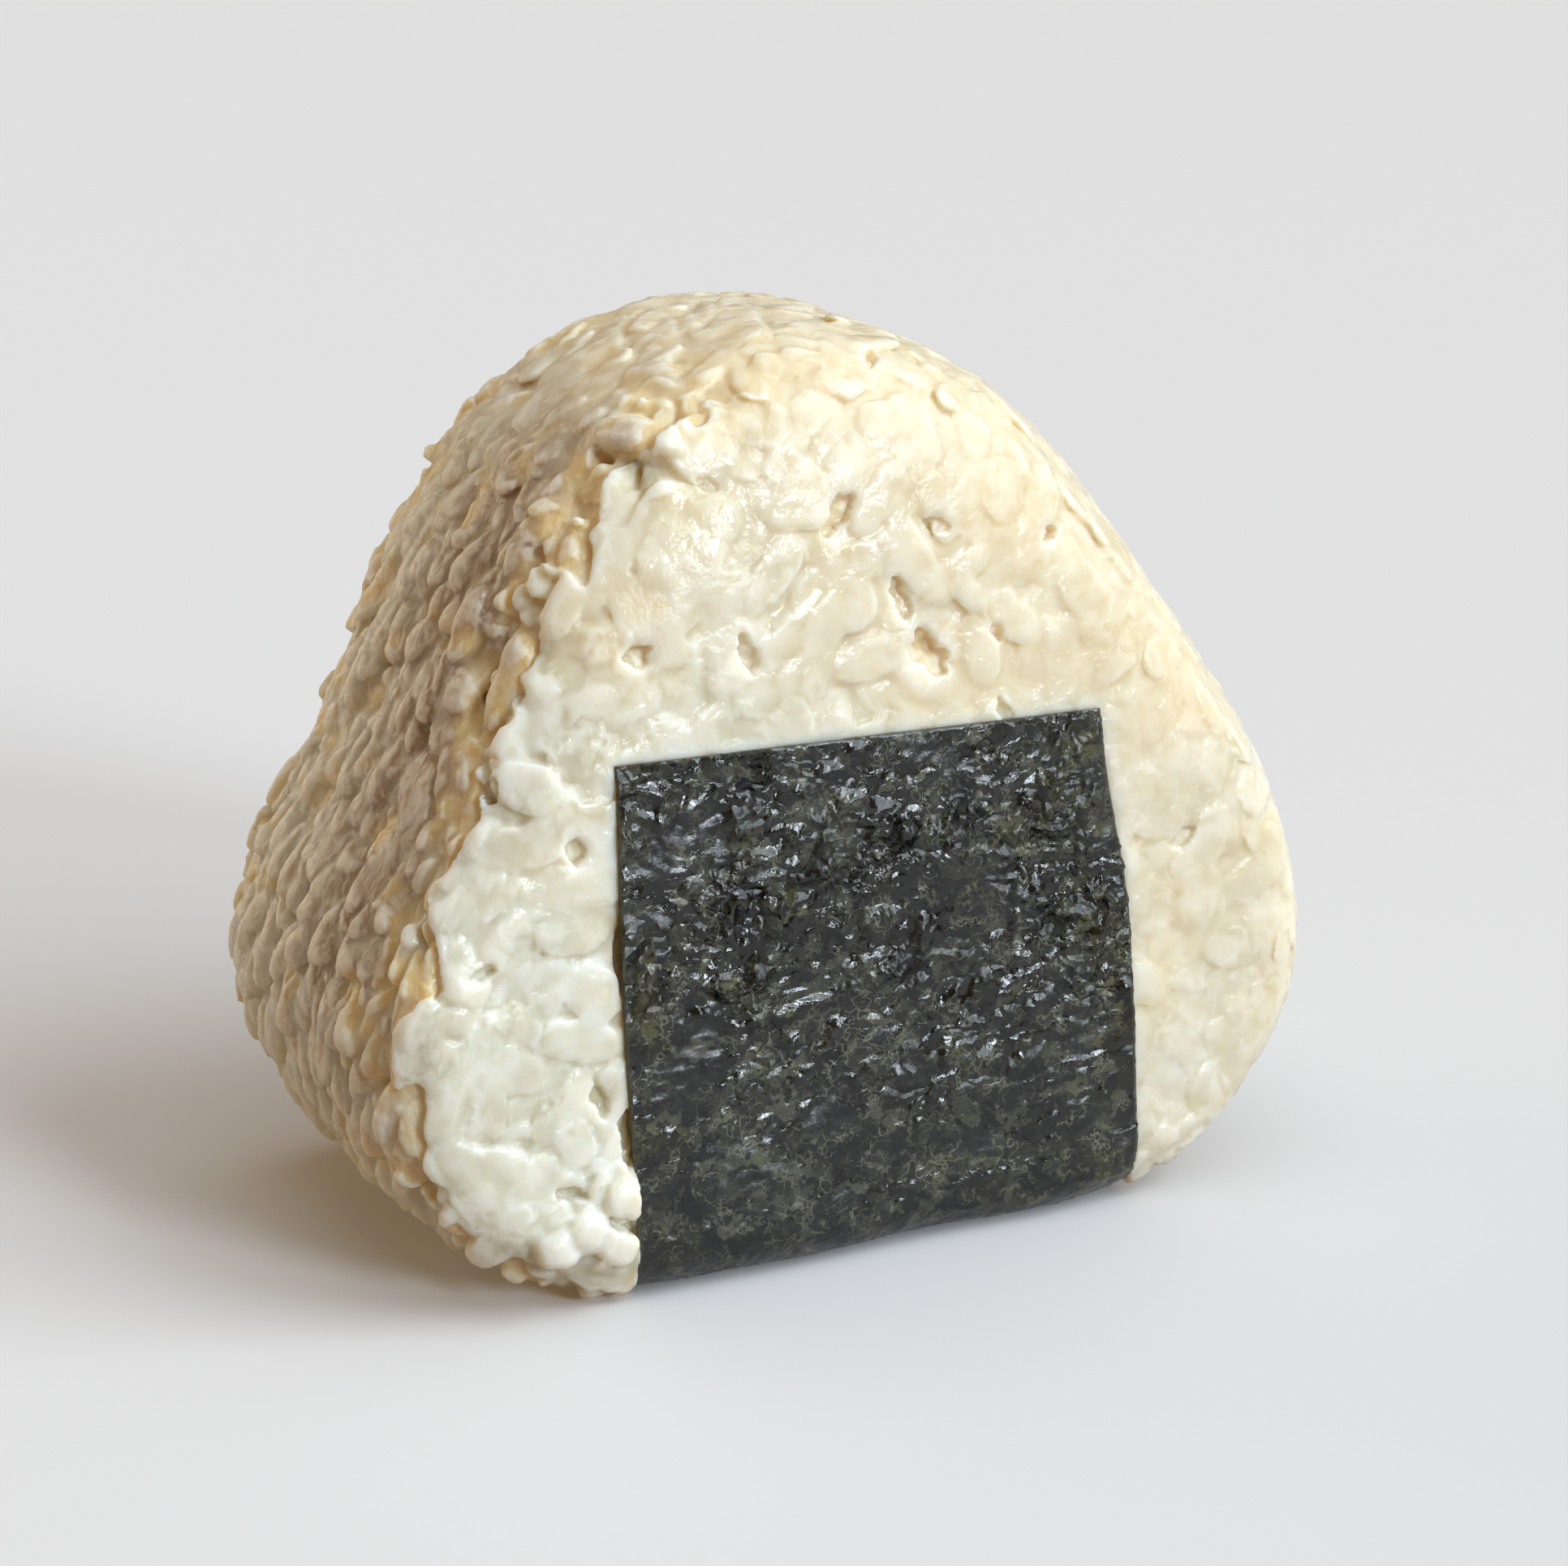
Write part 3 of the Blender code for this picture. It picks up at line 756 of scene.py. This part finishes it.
def riceMaterial():  # moist, milky grains; painted light makes them white on the left and brighter, warmer towards the top and the right, where the light falls
    material, nodes, shader = newMaterial("pressedRice")
    split = nodes.new("ShaderNodeSeparateXYZ")
    feed(split.inputs[0], ownPlace(nodes))
    # painted light: a mask that grows towards the top and the right, where the light falls, with a random
    # drift in tone
    rise = calc(nodes, "MULTIPLY_ADD", split.outputs["Z"], 16.0, -0.5)
    slope = calc(nodes, "MULTIPLY_ADD", split.outputs["X"], 12.0, rise)
    drift = calc(nodes, "MULTIPLY_ADD", texture(nodes, 70, 3), 1.6, -0.5)
    paintedLight = calc(nodes, "MULTIPLY_ADD", slope, 1.0, drift, clamp=True)

    def either(name):  # a pair's colour on the white part and on the brighter, warmer part with painted light
        return mix(nodes, paintedLight, *rice[name])

    tone, relief = attribute(nodes, "tone"), attribute(nodes, "relief")
    bent = warped(nodes, 420, 3, 3.2 * mm)
    plates = cells(nodes, bent, rice["plateScale"])["Distance"]
    white = ramp(nodes, tone, *zip((0.0, 0.5, 1.0), rice["lessLitWhiteTones"]))
    cream = ramp(nodes, tone, *zip((0.0, 0.5, 1.0), rice["paintedLitCreamTones"]))
    # painted light: the brighter cream tones where the light falls, the white ones low down and on the left
    base = mix(nodes, paintedLight, white, cream)
    layers = (
        (ramp(nodes, texture(nodes, 170, 3, 0.6), (0.40, 0.0), (0.62, 0.4)), either("milky")),
        (attribute(nodes, "shade"), rice["shadeColour"]),
        # painted warm glow in the recess behind the ridge and beside the strip
        (mix(nodes, 0.8, (0, 0, 0), attribute(nodes, "paintedRecessGlow")), rice["paintedRecessGlowColour"]),
        # painted warm glow in the creases
        (ramp(nodes, relief, (0.2, 0.5), (0.47, 0.0)), either("paintedCreaseGlow")),
        # painted shade along the sunken seams between the plates
        (ramp(nodes, plates, (0.62, 0.0), (0.9, 0.55)), either("paintedSeamShade")),
        # painted light on the convex edges
        (ramp(nodes, relief, (0.54, 0.0), (0.72, 0.5)), rice["paintedEdgeLightColour"]),
        # painted warm glow in the pits
        (ramp(nodes, attribute(nodes, "paintedPitGlow"), (0.05, 0.0), (0.75, 0.85)), either("paintedPitGlow")),
    )
    for mask, colour in layers:
        base = mix(nodes, mask, base, colour)
    feed(shader.inputs["Base Color"], base)

    wetPatches = ramp(nodes, texture(nodes, 300, 2), (0.44, 0.0), (0.6, 1.0))
    feed(shader.inputs["Roughness"], mix(nodes, wetPatches, (0.6,) * 3, (0.4,) * 3))
    for name, value in rice["finish"].items():
        shader.inputs[name].default_value = value

    shingles = cells(nodes, stretched(nodes, bent, (1.0, 1.0, 0.5)), rice["shingleScale"], "DISTANCE_TO_EDGE")
    onSide = calc(nodes, "MULTIPLY_ADD", shingles["Distance"], attribute(nodes, "side"), 0.0)
    sunken = calc(nodes, "MULTIPLY_ADD", plates, rice["plateRelief"], 0.5)
    height = calc(nodes, "MULTIPLY_ADD", onSide, rice["shingleRelief"], sunken)
    pressed = bump(nodes, height, 1.0 * mm)
    feed(shader.inputs["Normal"], pressed)
    fine, broad = texture(nodes, 1900, 3, 0.6), texture(nodes, 520, 3, 0.55)
    film = calc(nodes, "MULTIPLY_ADD", fine, wetPatches, broad)
    feed(shader.inputs["Coat Normal"], bump(nodes, film, rice["wetFilm"], under=pressed))
    return material


def pitSpots():
    spots = []
    for px, py, length, width, angle, depth in pits:
        turn = math.radians(angle)
        spot, normal, _, _ = guideTree.ray_cast(*photoRay(px, py))
        ahead, _, _, _ = guideTree.ray_cast(*photoRay(px + 20 * math.cos(turn), py - 20 * math.sin(turn)))
        along = ahead - spot
        along = (along - normal * along.dot(normal)).normalized()
        frameOfPit = np.array(spot), np.array(along), np.array(normal.cross(along))
        spots.append((*frameOfPit, length * mm, width * mm, depth * mm))
    return spots


def carvePits(points, outward, spots):  # small gaps between the pressed grains, with steep and uneven walls
    push = np.zeros(len(points))
    for spot, along, across, length, width, depth in spots:
        near = np.where(np.linalg.norm(points - spot, axis=1) < length)[0]
        local = points[near] - spot
        u, v = local @ along / (length / 2), local @ across / (width / 2)
        rough = [noise.noise(Vector(p) * 520) + 0.5 * noise.noise(Vector(p) * 1300) for p in points[near]]
        rough = np.array(rough)
        ring = np.maximum(np.abs(u + 0.35 * v), np.abs(v - 0.3 * u)) * 0.6
        ring = ring + (np.abs(u) + np.abs(v)) * 0.4 + 0.6 * rough
        hollow = depth * (1 - smoothStep(ring, 0.8, 1.0)) * (0.7 + 0.5 * rough)
        push[near] = np.maximum(push[near], hollow)
    points -= outward * push[:, None]


def sharpened(data, heights, rounds):  # how far each point stands out of its smoothed neighbours
    ends = np.empty(len(data.edges) * 2, dtype=np.int32)
    data.edges.foreach_get("vertices", ends)
    here, there = ends.reshape(-1, 2).T
    total = len(heights)
    neighbours = np.bincount(here, minlength=total) + np.bincount(there, minlength=total)
    soft = heights.copy()
    for _ in range(rounds):
        soft = np.bincount(here, soft[there], total) + np.bincount(there, soft[here], total)
        soft /= neighbours
    return heights - soft


def facingFront(points, outward):  # near 1 on the pressed faces, low on the sides, with an uneven border
    coarse, fine = 260, 600
    ripple = [0.5 * noise.noise(Vector(p) * coarse) + 0.16 * noise.noise(Vector(p) * fine) for p in points]
    return np.abs(outward[:, 1]) + np.array(ripple)


def riceCore(middles):  # the guide, and where its points go once drawn in under the grains
    core = meshObject("riceCore", guidePoints, guideFaces)
    points, normals = coordinates(core.data), vertexNormals(core.data)
    flat = smoothStep(np.abs(normals[:, 1]), 0.6, 0.93)
    inside = insideStrip(points)
    room = (inside < rice["underStrip"]).astype(float)
    depth = rice["coreDepthSide"] + (rice["coreDepthFace"] - rice["coreDepthSide"]) * flat
    depth += (rice["coreDepthStrip"] - depth) * smoothStep(inside, 0.2 * mm, 1.6 * mm)
    for spot, length, _ in middles:
        room[np.linalg.norm(points - spot, axis=1) < 0.3 * length] = 0.0
    spin = 0.5 + (math.pi - 0.5) * np.maximum(flat, smoothStep(normals[:, 2], 0.55, 0.85))
    setValues(core.data, "flat", flat)
    setValues(core.data, "room", room)
    setValues(core.data, "spin", spin)
    return core, points - normals * depth[:, None]


def scatterGrains(core, variants, material):  # the many grains, and the tone of each of their points
    scattered = bpy.data.objects.new("scattered", core.data.copy())
    bpy.context.scene.collection.objects.link(scattered)
    tree = scatterTree(variants, material)
    modifier = scattered.modifiers.new("grains", "NODES")
    modifier.node_group = tree
    values = {
        "Spacing": rice["spacing"],
        "Density": rice["density"],
        "Side Level": rice["sideLevel"],
        "Face Level": rice["faceLevel"],
        "Side Spread": rice["sideSpread"],
        "Face Spread": rice["faceSpread"],
        "Side Flatten": rice["sideFlatten"],
        "Face Flatten": rice["faceFlatten"],
        "Seed": rice["seed"],
    }
    for item in tree.interface.items_tree:
        if item.name in values:
            modifier[item.identifier] = values[item.name]
    baked(scattered)
    tones = np.empty(len(scattered.data.vertices), dtype=np.float32)
    scattered.data.attributes["tone"].data.foreach_get("value", tones)
    return scattered, tones


def mergedMass(parts):  # the core and all its grains as one closed skin
    data = bmesh.new()
    for mesh in parts:
        data.from_mesh(mesh)
    mass = bpy.data.meshes.new("riceMass")
    data.to_mesh(mass)
    data.free()
    made = bpy.data.objects.new("riceMass", mass)
    bpy.context.scene.collection.objects.link(made)
    remesh = made.modifiers.new("merge", "REMESH")
    remesh.mode = "VOXEL"
    remesh.voxel_size = rice["voxel"]
    baked(made)
    print("merged:", len(made.data.vertices), "points")
    return made


def awayFrom(points, spot, length):  # 0 at a single grain, 1 well clear of it
    return smoothStep(np.linalg.norm(points - spot, axis=1), 0.45 * length, 0.75 * length)


def pressMass(made, middles, spots):  # flattens the faces as hands do, and steps the side in behind the ridge
    points = coordinates(made.data)
    distance, outward = fromGuide(points)
    proudOnes = [(spot, length, proud) for spot, length, proud in middles if proud > 0]
    flat = smoothStep(np.abs(outward[:, 1]), 0.5, 0.9)
    smooth = np.maximum(flat, smoothStep(outward[:, 2], 0.3, 0.75))
    smooth = np.maximum(smooth, smoothStep(outward[:, 0], 0.1, 0.6))
    calm = rice["sideCalm"] + (rice["faceCalm"] - rice["sideCalm"]) * smooth
    calm += rice["rightCalm"] * smoothStep(points[:, 0], -5 * mm, 25 * mm) * smooth
    calm *= 1 - rice["backRelief"] * smoothStep(outward[:, 1], 0.3, 0.8)
    for spot, length, _ in proudOnes:
        calm *= awayFrom(points, spot, length)
    eased = distance - calm * (distance + rice["restDepth"])
    eased += rice["crispness"] * sharpened(made.data, eased, 3)
    facing = facingFront(points, outward)
    left = smoothStep(-points[:, 0], 4 * mm, 14 * mm)
    behind = left * smoothStep(facing, 0.05, 0.4) * (1 - smoothStep(facing, 0.5, 0.58))
    ridge = left * rice["overhang"] * smoothStep(facing, 0.5, 0.58) * (1 - smoothStep(facing, 0.75, 1.0))
    eased += ridge
    eased -= rice["undercut"] * behind
    inside = insideStrip(points)
    points += outward * (eased - distance)[:, None]

    cap = rice["faceCap"] + rice["sideCap"] * (1 - flat)  # grains that stand past this are pressed back
    for spot, length, proud in proudOnes:
        cap += 1.6 * proud * (1 - awayFrom(points, spot, length))
    cap = cap + (rice["stripCap"] - cap) * smoothStep(inside, -0.1 * mm, 0.4 * mm)
    give = (0.22 + 0.4 * (1 - flat)) * (1 - smoothStep(inside, -0.5 * mm, 0.1 * mm))
    over = np.maximum(eased - cap, 0)
    points -= outward * (over * (1 - give))[:, None]
    carvePits(points, outward, spots)
    points[:, 2] = np.maximum(points[:, 2], rice["floorGap"])
    setCoordinates(made.data, points)


def thinMass(made):  # fewer triangles, with fine lumps put back where the strip leaves it bare
    thin = made.modifiers.new("thin", "DECIMATE")
    thin.ratio = min(1.0, rice["triangles"] / (2 * len(made.data.vertices)))
    baked(made)
    points, normals = coordinates(made.data), vertexNormals(made.data)
    bare = insideStrip(points) < 0.3 * mm
    lumps = np.array([noise.noise(Vector(p) * 700) + 0.5 * noise.noise(Vector(p) * 1500) for p in points])
    points += normals * (lumps * rice["lump"] * bare)[:, None]
    points[:, 2] = np.maximum(points[:, 2], rice["floorGap"])
    setCoordinates(made.data, points)
    made.data.shade_smooth()
    print("rice:", len(made.data.polygons), "faces")


def paintMass(made, grainPoints, tones):  # the values that the rice's material reads
    points = coordinates(made.data)
    distance, outward = fromGuide(points)
    facing = facingFront(points, outward)
    side = (1 - smoothStep(facing, 0.45, 0.62)) * (1 - 0.85 * smoothStep(outward[:, 2], 0.6, 0.9))
    ahead = 1 - smoothStep(points[:, 1] - body["lean"] * points[:, 2], -9 * mm, 11 * mm)
    high = smoothStep(points[:, 2], 7 * mm, 34 * mm)
    leftSide = smoothStep(-outward[:, 0], 0.1, 0.5)
    behind = smoothStep(facing, 0.05, 0.4) * (1 - smoothStep(facing, 0.5, 0.6))
    behind = behind * smoothStep(-points[:, 0], 4 * mm, 14 * mm)
    besideStrip = 1 - smoothStep(-insideStrip(points), 0.3 * mm, 1.5 * mm)
    band = besideStrip * (points[:, 0] < 0) * (points[:, 2] < 32 * mm)
    relief = sharpened(made.data, distance, 6)
    nearest = KDTree(len(grainPoints))
    for index, point in enumerate(grainPoints):
        nearest.insert(point, index)
    nearest.balance()
    setValues(made.data, "side", side)
    setValues(made.data, "shade", side * leftSide * high * (0.2 + 0.8 * ahead))
    # painted warm glow, standing in for light seeping through the rice, behind the ridge and beside the
    # strip's left edge
    setValues(made.data, "paintedRecessGlow", np.maximum(behind, 0.7 * band))
    # depth below the guide, where the pits get their painted warm glow
    setValues(made.data, "paintedPitGlow", np.clip((-distance - 0.45 * mm) / (0.9 * mm), 0, 1))
    # how far each point stands out: creases get painted warm glow, convex edges painted light
    setValues(made.data, "relief", np.clip(0.5 + relief / (0.6 * mm), 0, 1))
    setValues(made.data, "tone", [tones[nearest.find(p)[1]] for p in points])


def makeRice():
    chance = random.Random(rice["seed"])
    variants = bpy.data.collections.new("grainShapes")
    for index in range(rice["variants"]):
        variants.objects.link(makeVariant(index, chance))
    material = riceMaterial()
    spots = pitSpots()
    bpy.context.view_layer.update()
    singles, singleTones, middles = placeSingles(list(variants.objects))
    core, sunk = riceCore(middles)
    scattered, tones = scatterGrains(core, variants, material)
    grainPoints = np.concatenate([coordinates(scattered.data), coordinates(singles)])
    tones = np.concatenate([tones, singleTones])
    print("grains:", len(grainPoints), "points")

    setCoordinates(core.data, sunk)
    made = mergedMass((core.data, scattered.data, singles))
    for old in (core, scattered, *variants.objects):
        bpy.data.objects.remove(old)
    bpy.data.collections.remove(variants)
    pressMass(made, middles, spots)
    thinMass(made)
    paintMass(made, grainPoints, tones)
    made.data.materials.clear()
    made.data.materials.append(material)
    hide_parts("rice")
    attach(made, "root")
    return made


riceMass = makeRice()


# Nori: a crinkled sheet folded under the base

nori = {
    "width": 46 * mm,
    "underLength": 56 * mm,
    "thickness": 0.3 * mm,
    "step": 0.3 * mm,
    "wrinkle": 0.42 * mm,
    "fineWrinkle": 0.1 * mm,
    "swell": 0.35 * mm,
    "lift": 0.16 * mm,
    "groundTones": ((0.0005, 0.0005, 0.0005), (0.008, 0.009, 0.007), (0.05, 0.053, 0.039)),
    "fleckTones": ((0.0005, 0.0005, 0.0005), (0.012, 0.013, 0.010), (0.11, 0.115, 0.08)),
    "oliveTint": (1.7, 1.6, 0.7),
    "fibreColour": (0.19, 0.195, 0.14),
    "edgeColour": (0.07, 0.07, 0.045),
    "gloss": (0.09, 0.34),
    "crumple": 2.5 * mm,
    "crumpleScale": 225,
    "grain": 0.1 * mm,
}


def bottomOfOutline(x):  # height and outward normal of the outline's underside
    b = body
    left = x < 0
    centreX = np.where(left, -b["width"] / 2 + b["leftRadius"], b["width"] / 2 - b["rightRadius"])
    radius = np.where(left, b["leftRadius"], b["rightRadius"])
    beyond = np.where(left, np.minimum(x - centreX, 0), np.maximum(x - centreX, 0))
    drop = np.sqrt(radius ** 2 - beyond ** 2)
    return radius - drop, beyond / radius, -drop / radius


def stripRows():  # the strip's outer surface, row by row, from its front end to its back end
    across = np.linspace(0, 1, round(nori["width"] / nori["step"]) + 1)
    power = 2 / body["edgePower"]
    rows = []
    count = round((strip["frontLeftTop"] - body["insetBase"]) / nori["step"])
    top = strip["frontLeftTop"] + (strip["frontRightTop"] - strip["frontLeftTop"]) * across
    for share in np.linspace(1, 0, count, endpoint=False):
        left, right = stripEdges(body["insetBase"] + (strip["frontLeftTop"] - body["insetBase"]) * share)
        z = body["insetBase"] + (top - body["insetBase"]) * share
        rows.append(settle(left + (right - left) * across, -halfDepth(z), z))
    left, right = stripEdges(0.0)
    x = left + (right - left) * across
    turns = round(nori["underLength"] / nori["step"])
    for angle in wallAngles(turns):
        inset = body["insetBase"] * (1 - max(math.cos(angle), 0.0) ** power)
        reach = math.copysign(abs(math.sin(angle)) ** power, angle)
        outlineX = x
        for _ in range(6):
            z, nx, nz = bottomOfOutline(outlineX)
            outlineX = x + nx * inset
        height = z - nz * inset
        rows.append(settle(x, halfDepth(height) * reach, height))
    count = round((strip["backTop"] - body["insetBase"]) / nori["step"])
    for share in np.linspace(0, 1, count + 1)[1:]:
        z = np.full(len(across), body["insetBase"] + (strip["backTop"] - body["insetBase"]) * share)
        left, right = stripEdges(z[0])
        rows.append(settle(left + (right - left) * across, halfDepth(z), z))
    rows = np.array(rows)
    padded = np.concatenate([np.repeat(rows[:1], 8, axis=0), rows, np.repeat(rows[-1:], 8, axis=0)])
    average = np.mean([padded[shift:shift + len(rows)] for shift in range(17)], axis=0)
    rows[8:-8, :, 1] = average[8:-8, :, 1]
    return rows


def crinkle(point):  # height of the dried sheet's wrinkles, stronger high up
    p = Vector(point)
    warp = Vector([noise.noise(p * 210 + Vector((shift, 0, shift))) for shift in (0, 9, 18)])
    q = Vector((p.x * 0.75, p.y * 0.75, p.z * 1.15)) + warp * 2.6 * mm
    ridges = max(0.0, 1 - abs(noise.noise(q * 360)) * 4.5) ** 1.4
    cross = max(0.0, 1 - abs(noise.noise(q * 520 + Vector((5, 0, 0)))) * 5) ** 1.4
    fine = 1 - abs(noise.noise(q * 950 + Vector((3, 3, 3)))) * 2
    patch = min(1.0, max(0.1, 0.45 + 1.9 * noise.noise(p * 130)))
    high = 0.18 + 0.82 * min(1.0, max(0.0, (p.z - 0.010) / 0.016))
    wrinkle = (ridges + 0.9 * cross - 0.25) * patch * high
    return nori["wrinkle"] * wrinkle + nori["fineWrinkle"] * fine + nori["swell"] * noise.noise(p * 80)


def noriMaterial():  # near-black sheet with paler flecks and fibres, olive towards its edges
    material, nodes, shader = newMaterial("driedNori")

    def flakes(scale, feature, warp):
        bent = stretched(nodes, warped(nodes, scale * 1.3, 2, warp), (0.85, 1.0, 1.25))
        return cells(nodes, bent, scale, feature)

    cloudy = texture(nodes, 330, 5, 0.66, 1.2)
    ground = ramp(nodes, cloudy, *zip((0.42, 0.52, 0.68), nori["groundTones"]))
    flecks = ramp(nodes, flakes(760, "F1", 3.0 * mm)["Color"], *zip((0.3, 0.65, 0.95), nori["fleckTones"]))
    ground = mix(nodes, 0.5, ground, flecks)
    split = nodes.new("ShaderNodeSeparateXYZ")
    feed(split.inputs[0], ownPlace(nodes))
    sideways = calc(nodes, "ABSOLUTE", split.outputs["X"])
    towards = calc(nodes, "MULTIPLY_ADD", sideways, 12.0, texture(nodes, 120, 3, 0.55, 0.4))
    olive = ramp(nodes, towards, (0.66, 0.0), (0.84, 0.8))
    coloured = mix(nodes, olive, ground, mix(nodes, 1.0, ground, nori["oliveTint"], "MULTIPLY"))
    threads = ramp(nodes, flakes(520, "DISTANCE_TO_EDGE", 4.5 * mm)["Distance"], (0.0, 1.0), (0.075, 0.0))
    where = ramp(nodes, texture(nodes, 330, 4, 0.65, 0.8), (0.46, 0.0), (0.62, 0.7))
    fibred = mix(nodes, mix(nodes, 1.0, threads, where, "MULTIPLY"), coloured, nori["fibreColour"])
    feed(shader.inputs["Base Color"], mix(nodes, attribute(nodes, "edge"), fibred, nori["edgeColour"]))
    gloss = ramp(nodes, texture(nodes, 240, 3, 0.5, 0.5), *zip((0.46, 0.6), nori["gloss"]))
    feed(shader.inputs["Roughness"], gloss)
    shader.inputs["Specular IOR Level"].default_value = 0.5

    upper = nodes.new("ShaderNodeMapRange")  # the lower half stays smooth and matte
    upper.inputs["From Min"].default_value = 8 * mm
    upper.inputs["From Max"].default_value = 26 * mm
    upper.inputs["To Min"].default_value = 0.08
    feed(upper.inputs["Value"], split.outputs["Z"])
    zones = ramp(nodes, texture(nodes, 120, 2), (0.44, 0.07), (0.60, 1.0))
    zones = mix(nodes, 1.0, zones, upper.outputs[0], "MULTIPLY")
    folds = flakes(nori["crumpleScale"], "DISTANCE_TO_EDGE", 6.0 * mm)["Distance"]
    crumpled = bump(nodes, mix(nodes, 1.0, folds, zones, "MULTIPLY"), nori["crumple"])
    grain = bump(nodes, texture(nodes, 1200, 4, 0.6, 1.6), nori["grain"], 0.5, crumpled)
    feed(shader.inputs["Normal"], grain)
    return material


def stripMesh():  # a closed sheet: a fine outer side, a coarser inner one and the four edges
    rows = stripRows()
    rowCount, columnCount = rows.shape[:2]
    across = np.gradient(rows, axis=1)
    along = np.gradient(rows, axis=0)
    normals = np.cross(along, across)
    normals /= np.linalg.norm(normals, axis=2)[:, :, None]
    heights = np.array([[crinkle(p) for p in row] for row in rows])
    outer = rows + normals * (nori["lift"] + heights)[:, :, None]
    outer[:, :, 2] = np.maximum(outer[:, :, 2], 0.0)
    keepRows = sorted(set(range(0, rowCount, 2)) | {rowCount - 1})
    keepColumns = sorted(set(range(0, columnCount, 2)) | {columnCount - 1})
    inner = (outer - normals * nori["thickness"])[keepRows][:, keepColumns]
    points = np.concatenate([outer.reshape(-1, 3), inner.reshape(-1, 3)])
    half, innerColumns = rowCount * columnCount, len(keepColumns)

    def outerAt(row, column):
        return row * columnCount + column

    def innerAt(row, column):
        return half + row * innerColumns + column

    faces = []
    for row in range(rowCount - 1):
        for column in range(columnCount - 1):
            a = outerAt(row, column)
            faces.append((a, a + columnCount, a + columnCount + 1, a + 1))
    for row in range(len(keepRows) - 1):
        for column in range(innerColumns - 1):
            a = innerAt(row, column)
            faces.append((a, a + 1, a + innerColumns + 1, a + innerColumns))
    for line in (0, rowCount - 1):
        row = 0 if line == 0 else len(keepRows) - 1
        for at in range(innerColumns - 1):
            span = range(keepColumns[at], keepColumns[at + 1] + 1)
            faces.append([outerAt(line, c) for c in span] + [innerAt(row, at + 1), innerAt(row, at)])
    for line in (0, columnCount - 1):
        column = 0 if line == 0 else innerColumns - 1
        for at in range(len(keepRows) - 1):
            span = range(keepRows[at], keepRows[at + 1] + 1)
            faces.append([outerAt(r, line) for r in span] + [innerAt(at + 1, column), innerAt(at, column)])
    edge = np.zeros((rowCount, columnCount))
    edge[[0, -1], :] = 1
    edge[:, [0, -1]] = 1
    return points, faces, np.concatenate([edge.ravel(), np.zeros(len(points) - half)])


def makeNori():
    points, faces, edge = stripMesh()
    made = meshObject("noriStrip", points, faces)
    setValues(made.data, "edge", edge)
    data = bmesh.new()
    data.from_mesh(made.data)
    bmesh.ops.recalc_face_normals(data, faces=data.faces)
    data.to_mesh(made.data)
    data.free()
    made.data.shade_smooth()
    made.data.materials.append(noriMaterial())
    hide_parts("nori")
    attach(made, "root")
    print("nori:", len(made.data.polygons), "faces")
    return made


noriStrip = makeNori()


# Studio: a pale floor, soft light from the right, the front and above, a warm rim light from behind

studio = {
    "floorSize": 8.0,
    "floorColour": (0.74, 0.74, 0.74),
    "skyColour": (1.0, 0.68, 0.40),
    "skyStrength": 0.26,
    "key": {"from": (0.615, -0.489, 0.616), "spread": 42.0, "power": 2.0, "colour": (0.80, 0.90, 1.0)},
    "front": {"from": (0.32, -0.88, 0.34), "spread": 15.0, "power": 1.9, "colour": (0.80, 0.90, 1.0)},
    "over": {"from": (0.15, -0.10, 1.0), "spread": 70.0, "power": 1.05, "colour": (0.80, 0.90, 1.0)},
    "rim": {"from": (-0.62, 0.78, 0.02), "spread": 60.0, "power": 1.15, "colour": (1.0, 0.88, 0.68)},
}


def addLight(name):
    values = studio[name]
    light = bpy.data.lights.new(name, "SUN")
    light.angle = math.radians(values["spread"])
    light.energy = values["power"]
    light.color = values["colour"]
    lamp = bpy.data.objects.new(name + "Light", light)
    way = Vector(values["from"]).normalized()
    lamp.location = way
    lamp.rotation_euler = way.to_track_quat("Z", "Y").to_euler()
    bpy.context.scene.collection.objects.link(lamp)


def addFloor():
    half = studio["floorSize"] / 2
    corners = [(-half, -half, 0), (half, -half, 0), (half, half, 0), (-half, half, 0)]
    floor = meshObject("floor", corners, [(0, 1, 2, 3)])
    material = bpy.data.materials.new("paleFloor")
    material.use_nodes = True
    shader = material.node_tree.nodes["Principled BSDF"]
    shader.inputs["Base Color"].default_value = (*studio["floorColour"], 1.0)
    shader.inputs["Roughness"].default_value = 0.7
    shader.inputs["Specular IOR Level"].default_value = 0.2
    floor.data.materials.append(material)
    floor.visible_diffuse = False  # it shows and reflects, but throws no light up onto the shaded side


def addSky():
    world = bpy.data.worlds.new("studio")
    world.use_nodes = True
    background = world.node_tree.nodes["Background"]
    background.inputs["Color"].default_value = (*studio["skyColour"], 1.0)
    background.inputs["Strength"].default_value = studio["skyStrength"]
    bpy.context.scene.world = world


addCamera()
addFloor()
addSky()
for lampName in ("key", "front", "over", "rim"):
    addLight(lampName)
bpy.context.scene.view_settings.view_transform = "Standard"
print("studio ready")
